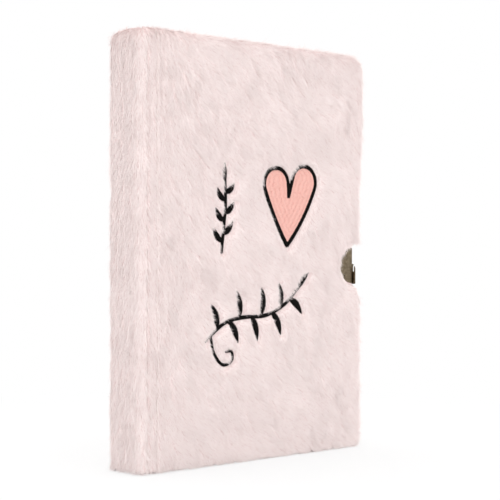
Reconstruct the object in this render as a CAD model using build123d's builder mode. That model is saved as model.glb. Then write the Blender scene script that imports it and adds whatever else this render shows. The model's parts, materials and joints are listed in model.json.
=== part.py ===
from build123d import *

import os
from math import cos, radians, sin

# Diary bound in plush, with a lock on its fore-edge, in millimetres.
# X runs from the spine to the fore-edge, -Y is the side of the front cover, and Z runs from the tail,
# on which the closed diary stands, to the head. The origin is under the middle of the closed diary.

# Boards
BOARD_W = 135.0
BOARD_H = 200.0
BOARD_T = 2.2
BOARD_CORNER_R = 3.0
SPINE_BOARD_W = 12.0
SPINE_BOARD_T = 2.0

# Plush, measured from the boards to the tips of the pile
PILE_T = 5.0
FORE_PILE_T = 4.5
HEAD_PILE_T = 5.0
TAIL_PILE_T = 2.0
PILE_ROUND_R = 4.4
HEAD_CORNER_R = 8.0
JOINT_CLEARANCE = 0.5

# Paper
BLOCK_T = 10.6
BLOCK_CLEARANCE = 0.2
HEAD_SQUARE = 3.0
FORE_SQUARE = 4.0
PASTEDOWN_T = 0.3
PASTEDOWN_MARGIN = 2.5
LEAF_T = 0.2
LEAF_GAP = 0.1
FRONT_LEAVES = 3
BACK_LEAVES = 1
LEAF_ROOT = 0.8
LEAF_ROOT_STEP = 0.4
SECTION_COUNT = 6
SECTION_FOLD_R = 0.6
LINING_T = 0.3

# Embroidered heart, drawn along the middle of its outline from its tip, in X and Z
HEART_FROM_FORE_EDGE = 50.5
HEART_FROM_TAIL = 104.3
HEART_LEFT_ANGLE = 125.0
HEART_LEFT_SIDE = (-15.0, 27.6)
HEART_LEFT_LOBE = (0.7, 31.0)
HEART_RIGHT_ANGLE = 46.0
HEART_RIGHT_SIDE = (19.5, 28.9)
HEART_RIGHT_LOBE = (4.7, 35.8)
HEART_NOTCH = (1.1, 24.3)
HEART_STROKE_W = 2.2
HEART_STROKE_T = 1.3
HEART_FILL_T = 0.9
HEART_SUNK = 2.2
HEART_MARGIN = 0.5

# Lock plates, folded round the edges of both boards
LOCK_FROM_TAIL = 94.0
PLATE_R = 9.3
PLATE_T = 0.5
PLATE_ROUND_R = 0.2
PLATE_PLUSH_GAP = 1.2
NOTCH_H = 24.0
RIVET_R = 0.6
RIVET_HEAD_R = 1.0
RIVET_HEAD_T = 0.25
RIVET_FROM_EDGE = 4.5
RIVET_SPACING = 11.0
RIVET_CLEARANCE = 0.05

# Tongue on the back cover
TONGUE_T = 0.7
TONGUE_H = 10.8
TONGUE_BELOW_LOCK = 9.8
TONGUE_OUT = 1.4
TONGUE_TIP_R = 3.0
TONGUE_HEEL_R = 0.6
TONGUE_FOOT_L = 2.3
TONGUE_BEND_L = 1.0
TONGUE_GAP = 0.35
EYE_W = 1.2
EYE_H = 3.6
EYE_RIM = 0.45
EYE_BELOW_TOP = 2.6

# Lock case on the front cover
CASE_WALL = 0.5
CASE_PAGE_GAP = 0.4
CASE_HASP_GAP = 0.5
CASE_HEADROOM = 0.4
SWING_IN_FRONT = 1.0
SWING_AT_BACK = 1.55
TONGUE_CLEARANCE = 0.6

# Key plug, bolt and spring
BOLT_T = 1.6
BOLT_FOOT_W = 3.0
BOLT_WEB = 0.6
BOLT_SIDE_CLEARANCE = 0.15
BOLT_LIFT = 0.4
NOTCH_CLEARANCE = 0.3
CRANK_R = 1.8
CRANK_HALF_ANGLE = 45.0
CRANK_PIN_R = 0.5
JOURNAL_R = 0.9
WINDOW_CLEARANCE = 0.2
PLUG_R = 2.2
PLUG_FLANGE_R = 3.1
PLUG_FLANGE_T = 0.6
PLUG_CLEARANCE = 0.05
PLUG_END_GAP = 0.1
KEYHOLE_W = 0.9
KEYHOLE_H = 2.8
KEYHOLE_DEPTH = 0.7
SPRING_T = 0.25
SPRING_W = 1.5
SPRING_SPAN = 7.6
SPRING_GAP = 0.05

# Stations along X
JOINT_W = PILE_T + JOINT_CLEARANCE
OVERALL_W = PILE_T + JOINT_W + BOARD_W + FORE_PILE_T
X_BACK = -OVERALL_W / 2
X_HINGE = X_BACK + PILE_T
X_JOINT = X_HINGE + JOINT_W
X_EDGE = X_JOINT + BOARD_W
X_FORE = X_EDGE + FORE_PILE_T
X_LINING = X_HINGE + SPINE_BOARD_T
X_PAGES = X_LINING + LINING_T
X_PAGE_EDGE = X_EDGE - FORE_SQUARE
X_PLATE = X_EDGE + PLATE_T
X_TONGUE = X_PLATE + TONGUE_GAP
X_CASE = X_PAGE_EDGE + CASE_PAGE_GAP
X_CASE_IN = X_TONGUE + TONGUE_T + SWING_AT_BACK
X_CASE_OUT = X_CASE_IN + CASE_WALL

# Stations along Y, counted outwards from the middle of the book
Y_PAGES = BLOCK_T / 2
Y_PLATE_IN = Y_PAGES + BLOCK_CLEARANCE
Y_PASTEDOWN = Y_PLATE_IN + PLATE_T
Y_BOARD = Y_PASTEDOWN + PASTEDOWN_T
Y_HINGE = Y_BOARD + BOARD_T
Y_PLATE_OUT = Y_HINGE + PLATE_T
Y_OUT = Y_HINGE + PILE_T
Y_CASE_END = Y_PLATE_IN - CASE_HASP_GAP
Y_HEART = Y_OUT - HEART_SUNK

# Stations along Z
Z_BOARD = TAIL_PILE_T
Z_BOARD_TOP = Z_BOARD + BOARD_H
Z_TOP = Z_BOARD_TOP + HEAD_PILE_T
Z_PAGES = Z_BOARD + HEAD_SQUARE
PAGE_H = BOARD_H - 2 * HEAD_SQUARE
Z_LOCK = Z_BOARD + LOCK_FROM_TAIL
Z_TONGUE = Z_LOCK - TONGUE_BELOW_LOCK
Z_TONGUE_TOP = Z_TONGUE + TONGUE_H

# Stations of the mechanism
BOLT_TRAVEL = 2 * CRANK_R * sin(radians(CRANK_HALF_ANGLE))
X_BOLT = X_TONGUE + (TONGUE_T - BOLT_T) / 2
X_FLANGE = X_CASE_IN - PLUG_END_GAP - PLUG_FLANGE_T
Y_PLUG = (Y_CASE_END - Y_PLATE_IN) / 2
Z_FOOT = Z_TONGUE_TOP + BOLT_LIFT
Z_BOLT = Z_TONGUE_TOP + BOLT_TRAVEL + NOTCH_CLEARANCE
WINDOW_R = JOURNAL_R + WINDOW_CLEARANCE
Z_PLUG = Z_BOLT + BOLT_WEB + WINDOW_R
Z_BOLT_TOP = Z_PLUG + BOLT_TRAVEL + WINDOW_R + BOLT_WEB
Z_CASE = Z_TONGUE - TONGUE_CLEARANCE - CASE_WALL
Z_CASE_TOP = Z_BOLT_TOP + CASE_HEADROOM + CASE_WALL
Z_SLOT_TOP = Z_TONGUE_TOP + TONGUE_CLEARANCE

CORNER = (Align.MIN, Align.MIN, Align.MIN)
RIVETS = [
    (X_EDGE - RIVET_FROM_EDGE, Z_LOCK - RIVET_SPACING / 2),
    (X_EDGE - RIVET_FROM_EDGE, Z_LOCK + RIVET_SPACING / 2),
]


def front_plane(y):
    """Plane facing the front cover's side, at a distance y in front of the middle of the book."""
    return Plane.XZ.offset(y)


def sheet(x, x_end, y, y_end, z, z_end):
    """Plain rectangular piece between the given stations."""
    with BuildPart() as piece:
        with Locations((x, y, z)):
            Box(x_end - x, y_end - y, z_end - z, align=CORNER)
    return piece.part


def mirrored(part):
    """The same piece on the back cover."""
    with BuildPart() as piece:
        mirror(part, about=Plane.XZ)
    return piece.part


def plate_outline(radius):
    """D-shaped outline whose straight side lies on the fore-edge of the boards."""
    with BuildSketch() as outline:
        with BuildLine():
            CenterArc((X_EDGE, Z_LOCK), radius, 90, 180)
            Line((X_EDGE, Z_LOCK - radius), (X_EDGE, Z_LOCK + radius))
        make_face()
    return outline.sketch


def heart_outline_face(margin):
    """Heart whose edge lies a margin outside the middle of the stitched outline."""
    halves = [
        (HEART_LEFT_ANGLE, HEART_LEFT_SIDE, HEART_LEFT_LOBE),
        (HEART_RIGHT_ANGLE, HEART_RIGHT_SIDE, HEART_RIGHT_LOBE),
    ]
    tip = Vector(X_EDGE - HEART_FROM_FORE_EDGE, Z_BOARD + HEART_FROM_TAIL)
    with BuildSketch() as heart:
        with BuildLine():
            for angle, side_end, lobe_end in halves:
                start = Vector(cos(radians(angle)), sin(radians(angle)))
                side = TangentArc(tip, tip + Vector(*side_end), tangent=start)
                lobe = TangentArc(side @ 1, tip + Vector(*lobe_end), tangent=side % 1)
                Line(lobe @ 1, tip + Vector(*HEART_NOTCH))
        make_face()
        offset(amount=margin, mode=Mode.REPLACE)
    return heart.sketch


def cover_board():
    """Front board, pierced for the rivets of the lock plate."""
    with BuildPart() as board:
        with BuildSketch(front_plane(Y_BOARD)):
            with Locations((X_JOINT, Z_BOARD)):
                Rectangle(BOARD_W, BOARD_H, align=(Align.MIN, Align.MIN))
            with Locations(*RIVETS):
                Circle(RIVET_R + RIVET_CLEARANCE, mode=Mode.SUBTRACT)
        extrude(amount=BOARD_T)
        corners = board.edges().filter_by(Axis.Y).filter_by(GeomType.LINE).group_by(Axis.X)[-1]
        fillet(corners, BOARD_CORNER_R)
    return board.part


def cover_plush():
    """Plush over a board's outer face, head, tail and fore-edge, open round the lock plate."""
    with BuildPart() as plush:
        with Locations((X_JOINT, -Y_OUT, 0)):
            Box(X_FORE - X_JOINT, Y_OUT - Y_BOARD, Z_TOP, align=CORNER)
        corners = plush.edges().filter_by(Axis.Y).group_by(Axis.X)[-1]
        fillet(corners.sort_by(Axis.Z)[-1], HEAD_CORNER_R)
        rim = plush.faces().sort_by(Axis.Y)[0].edges()
        fillet(rim - rim.group_by(Axis.X)[0] - rim.group_by(Axis.Z)[0], PILE_ROUND_R)
        with Locations((X_JOINT, -Y_HINGE, Z_BOARD)):
            Box(BOARD_W, BOARD_T, BOARD_H, align=CORNER, mode=Mode.SUBTRACT)
        with BuildSketch(front_plane(Y_BOARD)):
            add(plate_outline(PLATE_R + PLATE_PLUSH_GAP))
            with Locations((X_EDGE, Z_LOCK)):
                Rectangle(FORE_PILE_T, NOTCH_H, align=(Align.MIN, Align.CENTER))
        extrude(amount=Y_OUT - Y_BOARD, mode=Mode.SUBTRACT)
    return plush.part


def joint_plush():
    """Plush across the front joint, between the spine and the edge of the front board."""
    with BuildPart() as joint:
        with Locations((X_HINGE, -Y_OUT, 0)):
            Box(JOINT_W, PILE_T, Z_TOP, align=CORNER)
        fillet(joint.edges().filter_by(Axis.X).group_by(Axis.Y)[0].sort_by(Axis.Z)[-1], PILE_ROUND_R)
    return joint.part


def spine_cover():
    """Plush round the spine: it turns each corner about the hinge line and folds over the spine board."""
    with BuildPart() as plush:
        with BuildSketch():
            with BuildLine():
                Line((X_HINGE, -Y_OUT), (X_HINGE, Y_OUT))
                CenterArc((X_HINGE, Y_HINGE), PILE_T, 90, 90)
                Line((X_BACK, Y_HINGE), (X_BACK, -Y_HINGE))
                CenterArc((X_HINGE, -Y_HINGE), PILE_T, 180, 90)
            make_face()
        extrude(amount=Z_TOP)
        head = plush.faces().sort_by(Axis.Z)[-1].edges()
        fillet(head - head.group_by(Axis.X)[-1], PILE_ROUND_R)
        with Locations((X_HINGE, -SPINE_BOARD_W / 2, 0)):
            Box(SPINE_BOARD_T, SPINE_BOARD_W, TAIL_PILE_T, align=CORNER)
        with Locations((X_HINGE, -SPINE_BOARD_W / 2, Z_BOARD_TOP)):
            Box(SPINE_BOARD_T, SPINE_BOARD_W, HEAD_PILE_T, align=CORNER)
    return plush.part


def pastedown():
    """Paper glued inside the front board, pierced for the rivets."""
    with BuildPart() as paper:
        with BuildSketch(front_plane(Y_PASTEDOWN)):
            with Locations((X_JOINT, Z_BOARD + PASTEDOWN_MARGIN)):
                Rectangle(
                    BOARD_W - PASTEDOWN_MARGIN,
                    BOARD_H - 2 * PASTEDOWN_MARGIN,
                    align=(Align.MIN, Align.MIN),
                )
            with Locations(*RIVETS):
                Circle(RIVET_R + RIVET_CLEARANCE, mode=Mode.SUBTRACT)
        extrude(amount=PASTEDOWN_T)
    return paper.part


def page_section(index):
    """Sewn section of the book block, rounded along its fold."""
    y = FRONT_LEAVES * (LEAF_T + LEAF_GAP) - Y_PAGES
    y_end = Y_PAGES - BACK_LEAVES * (LEAF_T + LEAF_GAP)
    section_t = (y_end - y) / SECTION_COUNT
    with BuildPart() as section:
        with Locations((X_PAGES, y + index * section_t, Z_PAGES)):
            Box(X_PAGE_EDGE - X_PAGES, section_t, PAGE_H, align=CORNER)
        fillet(section.edges().filter_by(Axis.Z).group_by(Axis.X)[0], SECTION_FOLD_R)
    return section.part


def leaf(place, side):
    """Single leaf, counted from the cover on its side: -1 is the front and 1 the back.

    It turns about its rounded root, which is its fold.
    """
    root = X_PAGES + LEAF_ROOT + place * LEAF_ROOT_STEP
    y = side * (Y_PAGES - place * (LEAF_T + LEAF_GAP) - LEAF_T / 2)
    with BuildPart() as paper:
        with BuildSketch(Plane.XY.offset(Z_PAGES)):
            with Locations((root, y)):
                Circle(LEAF_T / 2)
                Rectangle(X_PAGE_EDGE - root, LEAF_T, align=(Align.MIN, Align.CENTER))
        extrude(amount=PAGE_H)
    return paper.part


def lock_plate():
    """Plate folded round the edge of the front board, with a D-shaped leg on each face of it."""
    with BuildPart() as plate:
        with BuildSketch(front_plane(Y_HINGE)):
            add(plate_outline(PLATE_R))
        extrude(amount=PLATE_T)
        with BuildSketch(front_plane(Y_PLATE_IN)):
            add(plate_outline(PLATE_R))
        extrude(amount=PLATE_T)
        with Locations((X_EDGE, -Y_PLATE_OUT, Z_LOCK - PLATE_R)):
            Box(PLATE_T, Y_PLATE_OUT - Y_PLATE_IN, 2 * PLATE_R, align=CORNER)
        fillet(plate.faces().sort_by(Axis.Y)[0].edges(), PLATE_ROUND_R)
        with BuildSketch(front_plane(Y_PLATE_IN)):
            with Locations(*RIVETS):
                Circle(RIVET_R + RIVET_CLEARANCE)
        extrude(amount=Y_PLATE_OUT - Y_PLATE_IN, mode=Mode.SUBTRACT)
    return plate.part


def plate_rivets():
    """Two rivets through the plate, the board and its pastedown, headed on the outside."""
    with BuildPart() as rivets:
        with BuildSketch(front_plane(Y_PLATE_IN)):
            with Locations(*RIVETS):
                Circle(RIVET_R)
        extrude(amount=Y_PLATE_OUT - Y_PLATE_IN)
        with BuildSketch(front_plane(Y_PLATE_OUT)):
            with Locations(*RIVETS):
                Circle(RIVET_HEAD_R)
        extrude(amount=RIVET_HEAD_T)
    return rivets.part


front_board = cover_board()
bare_plush = cover_plush()

with BuildPart() as front_plush:
    add(bare_plush)
    with BuildSketch(front_plane(Y_HEART)):
        add(heart_outline_face(HEART_STROKE_W / 2 + HEART_MARGIN))
    extrude(amount=HEART_SUNK, mode=Mode.SUBTRACT)

with BuildPart() as heart_fill:
    with BuildSketch(front_plane(Y_HEART)):
        add(heart_outline_face(-HEART_STROKE_W / 2))
    extrude(amount=HEART_FILL_T)

with BuildPart() as heart_outline:
    with BuildSketch(front_plane(Y_HEART)):
        add(heart_outline_face(HEART_STROKE_W / 2))
        add(heart_outline_face(-HEART_STROKE_W / 2), mode=Mode.SUBTRACT)
    extrude(amount=HEART_STROKE_T)

# Shallow pressed box, open towards the pages, with a way through for the tongue and a bearing for the plug
with BuildPart() as lock_case:
    with Locations((X_CASE, -Y_PLATE_IN, Z_CASE)):
        Box(X_CASE_OUT - X_CASE, Y_CASE_END + Y_PLATE_IN, Z_CASE_TOP - Z_CASE, align=CORNER)
    with Locations((X_CASE, CASE_WALL - Y_PLATE_IN, Z_CASE + CASE_WALL)):
        Box(
            X_CASE_IN - X_CASE,
            Y_CASE_END + Y_PLATE_IN - 2 * CASE_WALL,
            Z_CASE_TOP - Z_CASE - 2 * CASE_WALL,
            align=CORNER,
            mode=Mode.SUBTRACT,
        )
    with Locations((X_PLATE, -Y_PLATE_IN, Z_CASE + CASE_WALL)):
        Box(
            TONGUE_GAP + TONGUE_T + SWING_IN_FRONT,
            CASE_WALL,
            Z_SLOT_TOP - Z_CASE - CASE_WALL,
            align=CORNER,
            mode=Mode.SUBTRACT,
        )
    with Locations((X_CASE + CASE_WALL, Y_CASE_END - CASE_WALL, Z_CASE + CASE_WALL)):
        Box(
            X_CASE_IN - X_CASE - CASE_WALL,
            CASE_WALL,
            Z_SLOT_TOP - Z_CASE - CASE_WALL,
            align=CORNER,
            mode=Mode.SUBTRACT,
        )
    with BuildSketch(Plane.YZ.offset(X_CASE_IN)):
        with Locations((Y_PLUG, Z_PLUG)):
            Circle(PLUG_R + PLUG_CLEARANCE)
    extrude(amount=CASE_WALL, mode=Mode.SUBTRACT)

# Inner plate of the case, which carries the far end of the plug
with BuildPart() as lock_inner_plate:
    with Locations((X_CASE, CASE_WALL - Y_PLATE_IN, Z_CASE + CASE_WALL)):
        Box(
            CASE_WALL,
            Y_CASE_END + Y_PLATE_IN - 2 * CASE_WALL,
            Z_CASE_TOP - Z_CASE - 2 * CASE_WALL,
            align=CORNER,
        )
    with BuildSketch(Plane.YZ.offset(X_CASE)):
        with Locations((Y_PLUG, Z_PLUG)):
            Circle(JOURNAL_R + PLUG_CLEARANCE)
    extrude(amount=CASE_WALL, mode=Mode.SUBTRACT)

# Plug turned by the key: face, flange, journal and a crank pin that reaches into the bolt
with BuildPart() as key_plug:
    with BuildSketch(Plane.YZ.offset(X_FLANGE)):
        with Locations((Y_PLUG, Z_PLUG)):
            Circle(PLUG_FLANGE_R)
    extrude(amount=PLUG_FLANGE_T)
    with BuildSketch(Plane.YZ.offset(X_FLANGE)):
        with Locations((Y_PLUG, Z_PLUG)):
            Circle(PLUG_R)
    extrude(amount=X_CASE_OUT - X_FLANGE)
    with BuildSketch(Plane.YZ.offset(X_FLANGE)):
        with Locations((Y_PLUG, Z_PLUG)):
            Circle(JOURNAL_R)
    extrude(amount=X_CASE + PLUG_END_GAP - X_FLANGE)
    with BuildSketch(Plane.YZ.offset(X_FLANGE)):
        with Locations(
            (
                Y_PLUG + CRANK_R * cos(radians(CRANK_HALF_ANGLE)),
                Z_PLUG + CRANK_R * sin(radians(CRANK_HALF_ANGLE)),
            )
        ):
            Circle(CRANK_PIN_R)
    extrude(amount=X_BOLT - X_FLANGE)
    with BuildSketch(Plane.YZ.offset(X_CASE_OUT)):
        with Locations((Y_PLUG, Z_PLUG)):
            SlotOverall(KEYHOLE_H, KEYHOLE_W, rotation=90)
    extrude(amount=-KEYHOLE_DEPTH, mode=Mode.SUBTRACT)

# Bolt guided by the case, drawn up clear of the tongue, with a window for the journal and the crank pin
with BuildPart() as lock_bolt:
    bolt_w = Y_CASE_END + Y_PLATE_IN - 2 * CASE_WALL - 2 * BOLT_SIDE_CLEARANCE
    with BuildSketch(Plane.YZ.offset(X_BOLT)):
        with Locations((Y_PLUG, Z_BOLT)):
            Rectangle(bolt_w, Z_BOLT_TOP - Z_BOLT, align=(Align.CENTER, Align.MIN))
        with Locations((Y_PLUG, Z_FOOT)):
            Rectangle(BOLT_FOOT_W, Z_BOLT - Z_FOOT, align=(Align.CENTER, Align.MIN))
        with Locations((Y_PLUG, Z_PLUG + BOLT_TRAVEL / 2)):
            SlotOverall(BOLT_TRAVEL + 2 * WINDOW_R, 2 * WINDOW_R, rotation=90, mode=Mode.SUBTRACT)
        with Locations((Y_PLUG, Z_PLUG + CRANK_R * sin(radians(CRANK_HALF_ANGLE)))):
            Rectangle(
                CRANK_R + CRANK_PIN_R + WINDOW_CLEARANCE,
                2 * (CRANK_PIN_R + WINDOW_CLEARANCE),
                align=(Align.MIN, Align.CENTER),
                mode=Mode.SUBTRACT,
            )
    extrude(amount=BOLT_T)

# Bowed leaf spring between the inner plate and the bolt
with BuildPart() as bolt_spring:
    spring_y = Y_PLUG - WINDOW_R - SPRING_W
    spring_z = Z_PLUG - SPRING_SPAN / 2
    seat = X_CASE + CASE_WALL
    crown = X_BOLT - SPRING_GAP
    with BuildSketch(front_plane(-spring_y - SPRING_W)):
        with BuildLine():
            ThreePointArc(
                (seat, spring_z),
                (crown, spring_z + SPRING_SPAN / 2),
                (seat, spring_z + SPRING_SPAN),
            )
            Line((seat, spring_z + SPRING_SPAN), (seat, spring_z + SPRING_SPAN - SPRING_T))
            ThreePointArc(
                (seat, spring_z + SPRING_SPAN - SPRING_T),
                (crown - SPRING_T, spring_z + SPRING_SPAN / 2),
                (seat, spring_z + SPRING_T),
            )
            Line((seat, spring_z + SPRING_T), (seat, spring_z))
        make_face()
    extrude(amount=SPRING_W)

# Tongue set against the back plate, bent out to run through the case, with its eyed tip past the front plate
with BuildPart() as hasp_tongue:
    foot_y = Y_PLATE_OUT
    bend_y = foot_y - TONGUE_FOOT_L
    run_y = bend_y - TONGUE_BEND_L
    tip_y = -Y_PLATE_OUT - TONGUE_OUT
    with BuildSketch(Plane.XY.offset(Z_TONGUE)):
        with BuildLine():
            Polyline(
                (X_PLATE, foot_y),
                (X_PLATE, bend_y),
                (X_TONGUE, run_y),
                (X_TONGUE, tip_y),
                (X_TONGUE + TONGUE_T, tip_y),
                (X_TONGUE + TONGUE_T, run_y),
                (X_PLATE + TONGUE_T, bend_y),
                (X_PLATE + TONGUE_T, foot_y),
                close=True,
            )
        make_face()
    extrude(amount=TONGUE_H)
    tip_edges = hasp_tongue.edges().filter_by(Axis.X).group_by(Axis.Y)[0].sort_by(Axis.Z)
    fillet(tip_edges[-1], TONGUE_TIP_R)
    fillet(tip_edges[0], TONGUE_HEEL_R)
    with BuildSketch(Plane.YZ.offset(X_TONGUE)):
        with Locations((tip_y + EYE_RIM + EYE_W / 2, Z_TONGUE_TOP - EYE_BELOW_TOP)):
            SlotOverall(EYE_H, EYE_W, rotation=90)
        with Locations((Y_PLUG, Z_TONGUE_TOP)):
            Rectangle(
                BOLT_FOOT_W + 2 * NOTCH_CLEARANCE,
                BOLT_TRAVEL - BOLT_LIFT + NOTCH_CLEARANCE,
                align=(Align.CENTER, Align.MAX),
            )
    extrude(amount=TONGUE_T, mode=Mode.SUBTRACT)

front_plate = lock_plate()
front_rivets = plate_rivets()
front_joint = joint_plush()
front_paper = pastedown()

pieces = {
    "front_board": front_board,
    "front_plush": front_plush.part,
    "front_joint_plush": front_joint,
    "front_pastedown": front_paper,
    "heart_fill": heart_fill.part,
    "heart_outline": heart_outline.part,
    "lock_plate": front_plate,
    "lock_rivets": front_rivets,
    "lock_case": lock_case.part,
    "lock_inner_plate": lock_inner_plate.part,
    "key_plug": key_plug.part,
    "lock_bolt": lock_bolt.part,
    "bolt_spring": bolt_spring.part,
    "back_board": mirrored(front_board),
    "back_plush": mirrored(bare_plush),
    "back_joint_plush": mirrored(front_joint),
    "back_pastedown": mirrored(front_paper),
    "hasp_plate": mirrored(front_plate),
    "hasp_rivets": mirrored(front_rivets),
    "hasp_tongue": hasp_tongue.part,
    "spine_board": sheet(
        X_HINGE, X_LINING, -SPINE_BOARD_W / 2, SPINE_BOARD_W / 2, Z_BOARD, Z_BOARD_TOP
    ),
    "spine_plush": spine_cover(),
    "spine_lining": sheet(X_LINING, X_PAGES, -Y_PAGES, Y_PAGES, Z_PAGES, Z_PAGES + PAGE_H),
    "front_flyleaf": leaf(0, -1),
    "first_leaf": leaf(1, -1),
    "second_leaf": leaf(2, -1),
    "back_flyleaf": leaf(0, 1),
}
for number in range(SECTION_COUNT):
    pieces[f"section_{number + 1}"] = page_section(number)

os.makedirs("parts", exist_ok=True)
for name, piece in pieces.items():
    piece.label = name
    export_step(piece, f"parts/{name}.step")
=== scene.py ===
"""Looks of a plush-bound diary with a lock on its fore-edge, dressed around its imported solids."""

import json
import logging
import math
from collections.abc import Callable, Sequence
from dataclasses import dataclass
from enum import Enum
from functools import partial

import bmesh
import bpy
import numpy as np
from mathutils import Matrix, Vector, kdtree, noise


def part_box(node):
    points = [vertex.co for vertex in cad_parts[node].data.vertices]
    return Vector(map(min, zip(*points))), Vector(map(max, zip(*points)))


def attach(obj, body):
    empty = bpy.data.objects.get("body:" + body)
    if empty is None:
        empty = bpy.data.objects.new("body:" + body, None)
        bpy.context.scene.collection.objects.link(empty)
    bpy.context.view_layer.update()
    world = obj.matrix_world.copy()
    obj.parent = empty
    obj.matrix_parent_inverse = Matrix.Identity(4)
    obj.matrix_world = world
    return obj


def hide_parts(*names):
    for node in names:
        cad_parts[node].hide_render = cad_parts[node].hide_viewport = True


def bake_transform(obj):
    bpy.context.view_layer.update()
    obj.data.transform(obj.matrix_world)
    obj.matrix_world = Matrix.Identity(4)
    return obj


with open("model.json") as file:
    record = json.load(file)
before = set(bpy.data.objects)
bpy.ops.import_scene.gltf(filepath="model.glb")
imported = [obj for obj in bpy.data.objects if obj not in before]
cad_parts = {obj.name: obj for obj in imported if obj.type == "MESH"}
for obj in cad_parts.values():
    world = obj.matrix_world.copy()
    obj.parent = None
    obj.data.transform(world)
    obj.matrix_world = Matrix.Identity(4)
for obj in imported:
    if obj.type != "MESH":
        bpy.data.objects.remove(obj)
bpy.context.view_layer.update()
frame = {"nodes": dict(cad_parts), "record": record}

LOG = logging.getLogger("plush_diary")
MM = 0.001
WHITE = (1.0, 1.0, 1.0, 1.0)

Material = bpy.types.Material
Node = bpy.types.Node
Piece = bpy.types.Object
Socket = bpy.types.NodeSocket
Tree = bpy.types.NodeTree
Adder = Callable[..., Node]
Comb = Callable[[Vector], Vector]


class CoverSide(Enum):
    """The two covers, by the sign of Y on which they lie."""

    FRONT = -1
    BACK = 1

    @property
    def word(self) -> str:
        """The cover's name as the solids use it."""
        return self.name.lower()

    @property
    def body(self) -> str:
        """The moving body that carries the cover."""
        return f"{self.word}_cover"


class FibreTint(Enum):
    """Tints of the pile's fibres, as sRGB hex values."""

    PALE = "#FDF2F0"
    ROSE = "#FBEFED"
    DEEP = "#F7EAE8"


# Small helpers


def linear(hex_colour: str) -> tuple[float, float, float, float]:
    """Turns an sRGB hex value to linear light.

    Args:
        hex_colour: Colour as "#RRGGBB".

    Returns:
        Linear red, green, blue and an alpha of 1.
    """
    channels = [int(hex_colour[i : i + 2], 16) / 255 for i in (1, 3, 5)]
    lit = [c / 12.92 if c <= 0.04045 else ((c + 0.055) / 1.055) ** 2.4 for c in channels]
    return (lit[0], lit[1], lit[2], 1.0)


def output(source: Socket | Node) -> Socket:
    """A socket as it is, or the first output of a node that its settings leave in use."""
    return source if isinstance(source, Socket) else next(s for s in source.outputs if s.enabled)


def add_node(
    tree: Tree,
    kind: str,
    inputs: dict[str | int, object] | None = None,
    to: Socket | None = None,
    **settings: object,
) -> Node:
    """Adds a node with its settings, fills or links its inputs, and may link its output.

    Args:
        tree: Tree that gets the node.
        kind: Blender's name of the node type.
        inputs: Values, or sockets and nodes to link, by the input's number or its name among those in use.
        to: Input that takes the node's output, in place of what it had.
        **settings: The node's own properties.

    Returns:
        The new node.
    """
    node = tree.nodes.new(kind)
    for key, value in settings.items():
        setattr(node, key, value)
    in_use = {s.name: s for s in reversed(list(node.inputs)) if s.enabled}
    for key, value in (inputs or {}).items():
        into = node.inputs[key] if isinstance(key, int) else in_use[key]
        if isinstance(value, (Socket, Node)):
            tree.links.new(output(value), into)
        else:
            into.default_value = value
    if to is not None:
        tree.links.new(output(node), to)
    return node


def smooth(value: float | np.ndarray, low: float, high: float) -> float | np.ndarray:
    """Smooth step from 0 at low to 1 at high."""
    t = np.clip((value - low) / (high - low), 0.0, 1.0)
    return t * t * (3 - 2 * t)


def heading(degrees: float) -> np.ndarray:
    """Unit vector at an angle from X towards Z."""
    return np.array([math.cos(math.radians(degrees)), math.sin(math.radians(degrees))])


def set_stops(ramp: bpy.types.ColorRamp, stops: dict[float, str]) -> None:
    """Sets a ramp's two colours, as hex values, at their places."""
    for stop, (place, colour) in zip(ramp.elements, stops.items()):
        stop.position, stop.color = place, linear(colour)


def new_object(name: str, data: bpy.types.ID) -> Piece:
    """Links a new object that holds the given data."""
    piece = bpy.data.objects.new(name, data)
    bpy.context.scene.collection.objects.link(piece)
    return piece


def mesh_object(name: str, points: Sequence, faces: Sequence, shaded_smooth: bool = True) -> Piece:
    """Makes a mesh object from points and faces.

    Args:
        name: Name of the piece.
        points: Positions in metres.
        faces: Tuples of point numbers.
        shaded_smooth: Whether the faces shade smoothly.

    Returns:
        The linked object.
    """
    mesh = bpy.data.meshes.new(name)
    mesh.from_pydata([tuple(p) for p in points], [], [tuple(int(i) for i in f) for f in faces])
    mesh.polygons.foreach_set("use_smooth", [shaded_smooth] * len(mesh.polygons))
    mesh.update()
    return new_object(name, mesh)


def face_outwards(piece: Piece) -> None:
    """Merges doubled points of a closed piece and turns its faces outwards."""
    work = bmesh.new()
    work.from_mesh(piece.data)
    bmesh.ops.remove_doubles(work, verts=work.verts, dist=1e-7)
    bmesh.ops.recalc_face_normals(work, faces=work.faces)
    work.to_mesh(piece.data)
    work.free()
    piece.data.update()


def joined(first: Piece, second: Piece) -> Piece:
    """Adds the second mesh to the first, which share one material.

    Args:
        first: Piece that is kept.
        second: Piece that is added and dropped.

    Returns:
        The first piece.
    """
    work = bmesh.new()
    work.from_mesh(first.data)
    work.from_mesh(second.data)
    for face in work.faces:
        face.material_index = 0
    work.to_mesh(first.data)
    work.free()
    bpy.data.objects.remove(second)
    return first


def freeze(source: Piece, name: str) -> Piece:
    """Turns an object's evaluated geometry into a plain mesh piece and drops the object.

    Args:
        source: Object whose modifiers make the shape.
        name: Name of the new piece.

    Returns:
        A piece without modifiers.
    """
    depsgraph = bpy.context.evaluated_depsgraph_get()
    mesh = bpy.data.meshes.new_from_object(source.evaluated_get(depsgraph), depsgraph=depsgraph)
    mesh.name = name
    for k in reversed(range(len(mesh.materials))):
        if mesh.materials[k] is None:
            mesh.materials.pop(index=k)
    bpy.data.objects.remove(source)
    return new_object(name, mesh)


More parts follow.
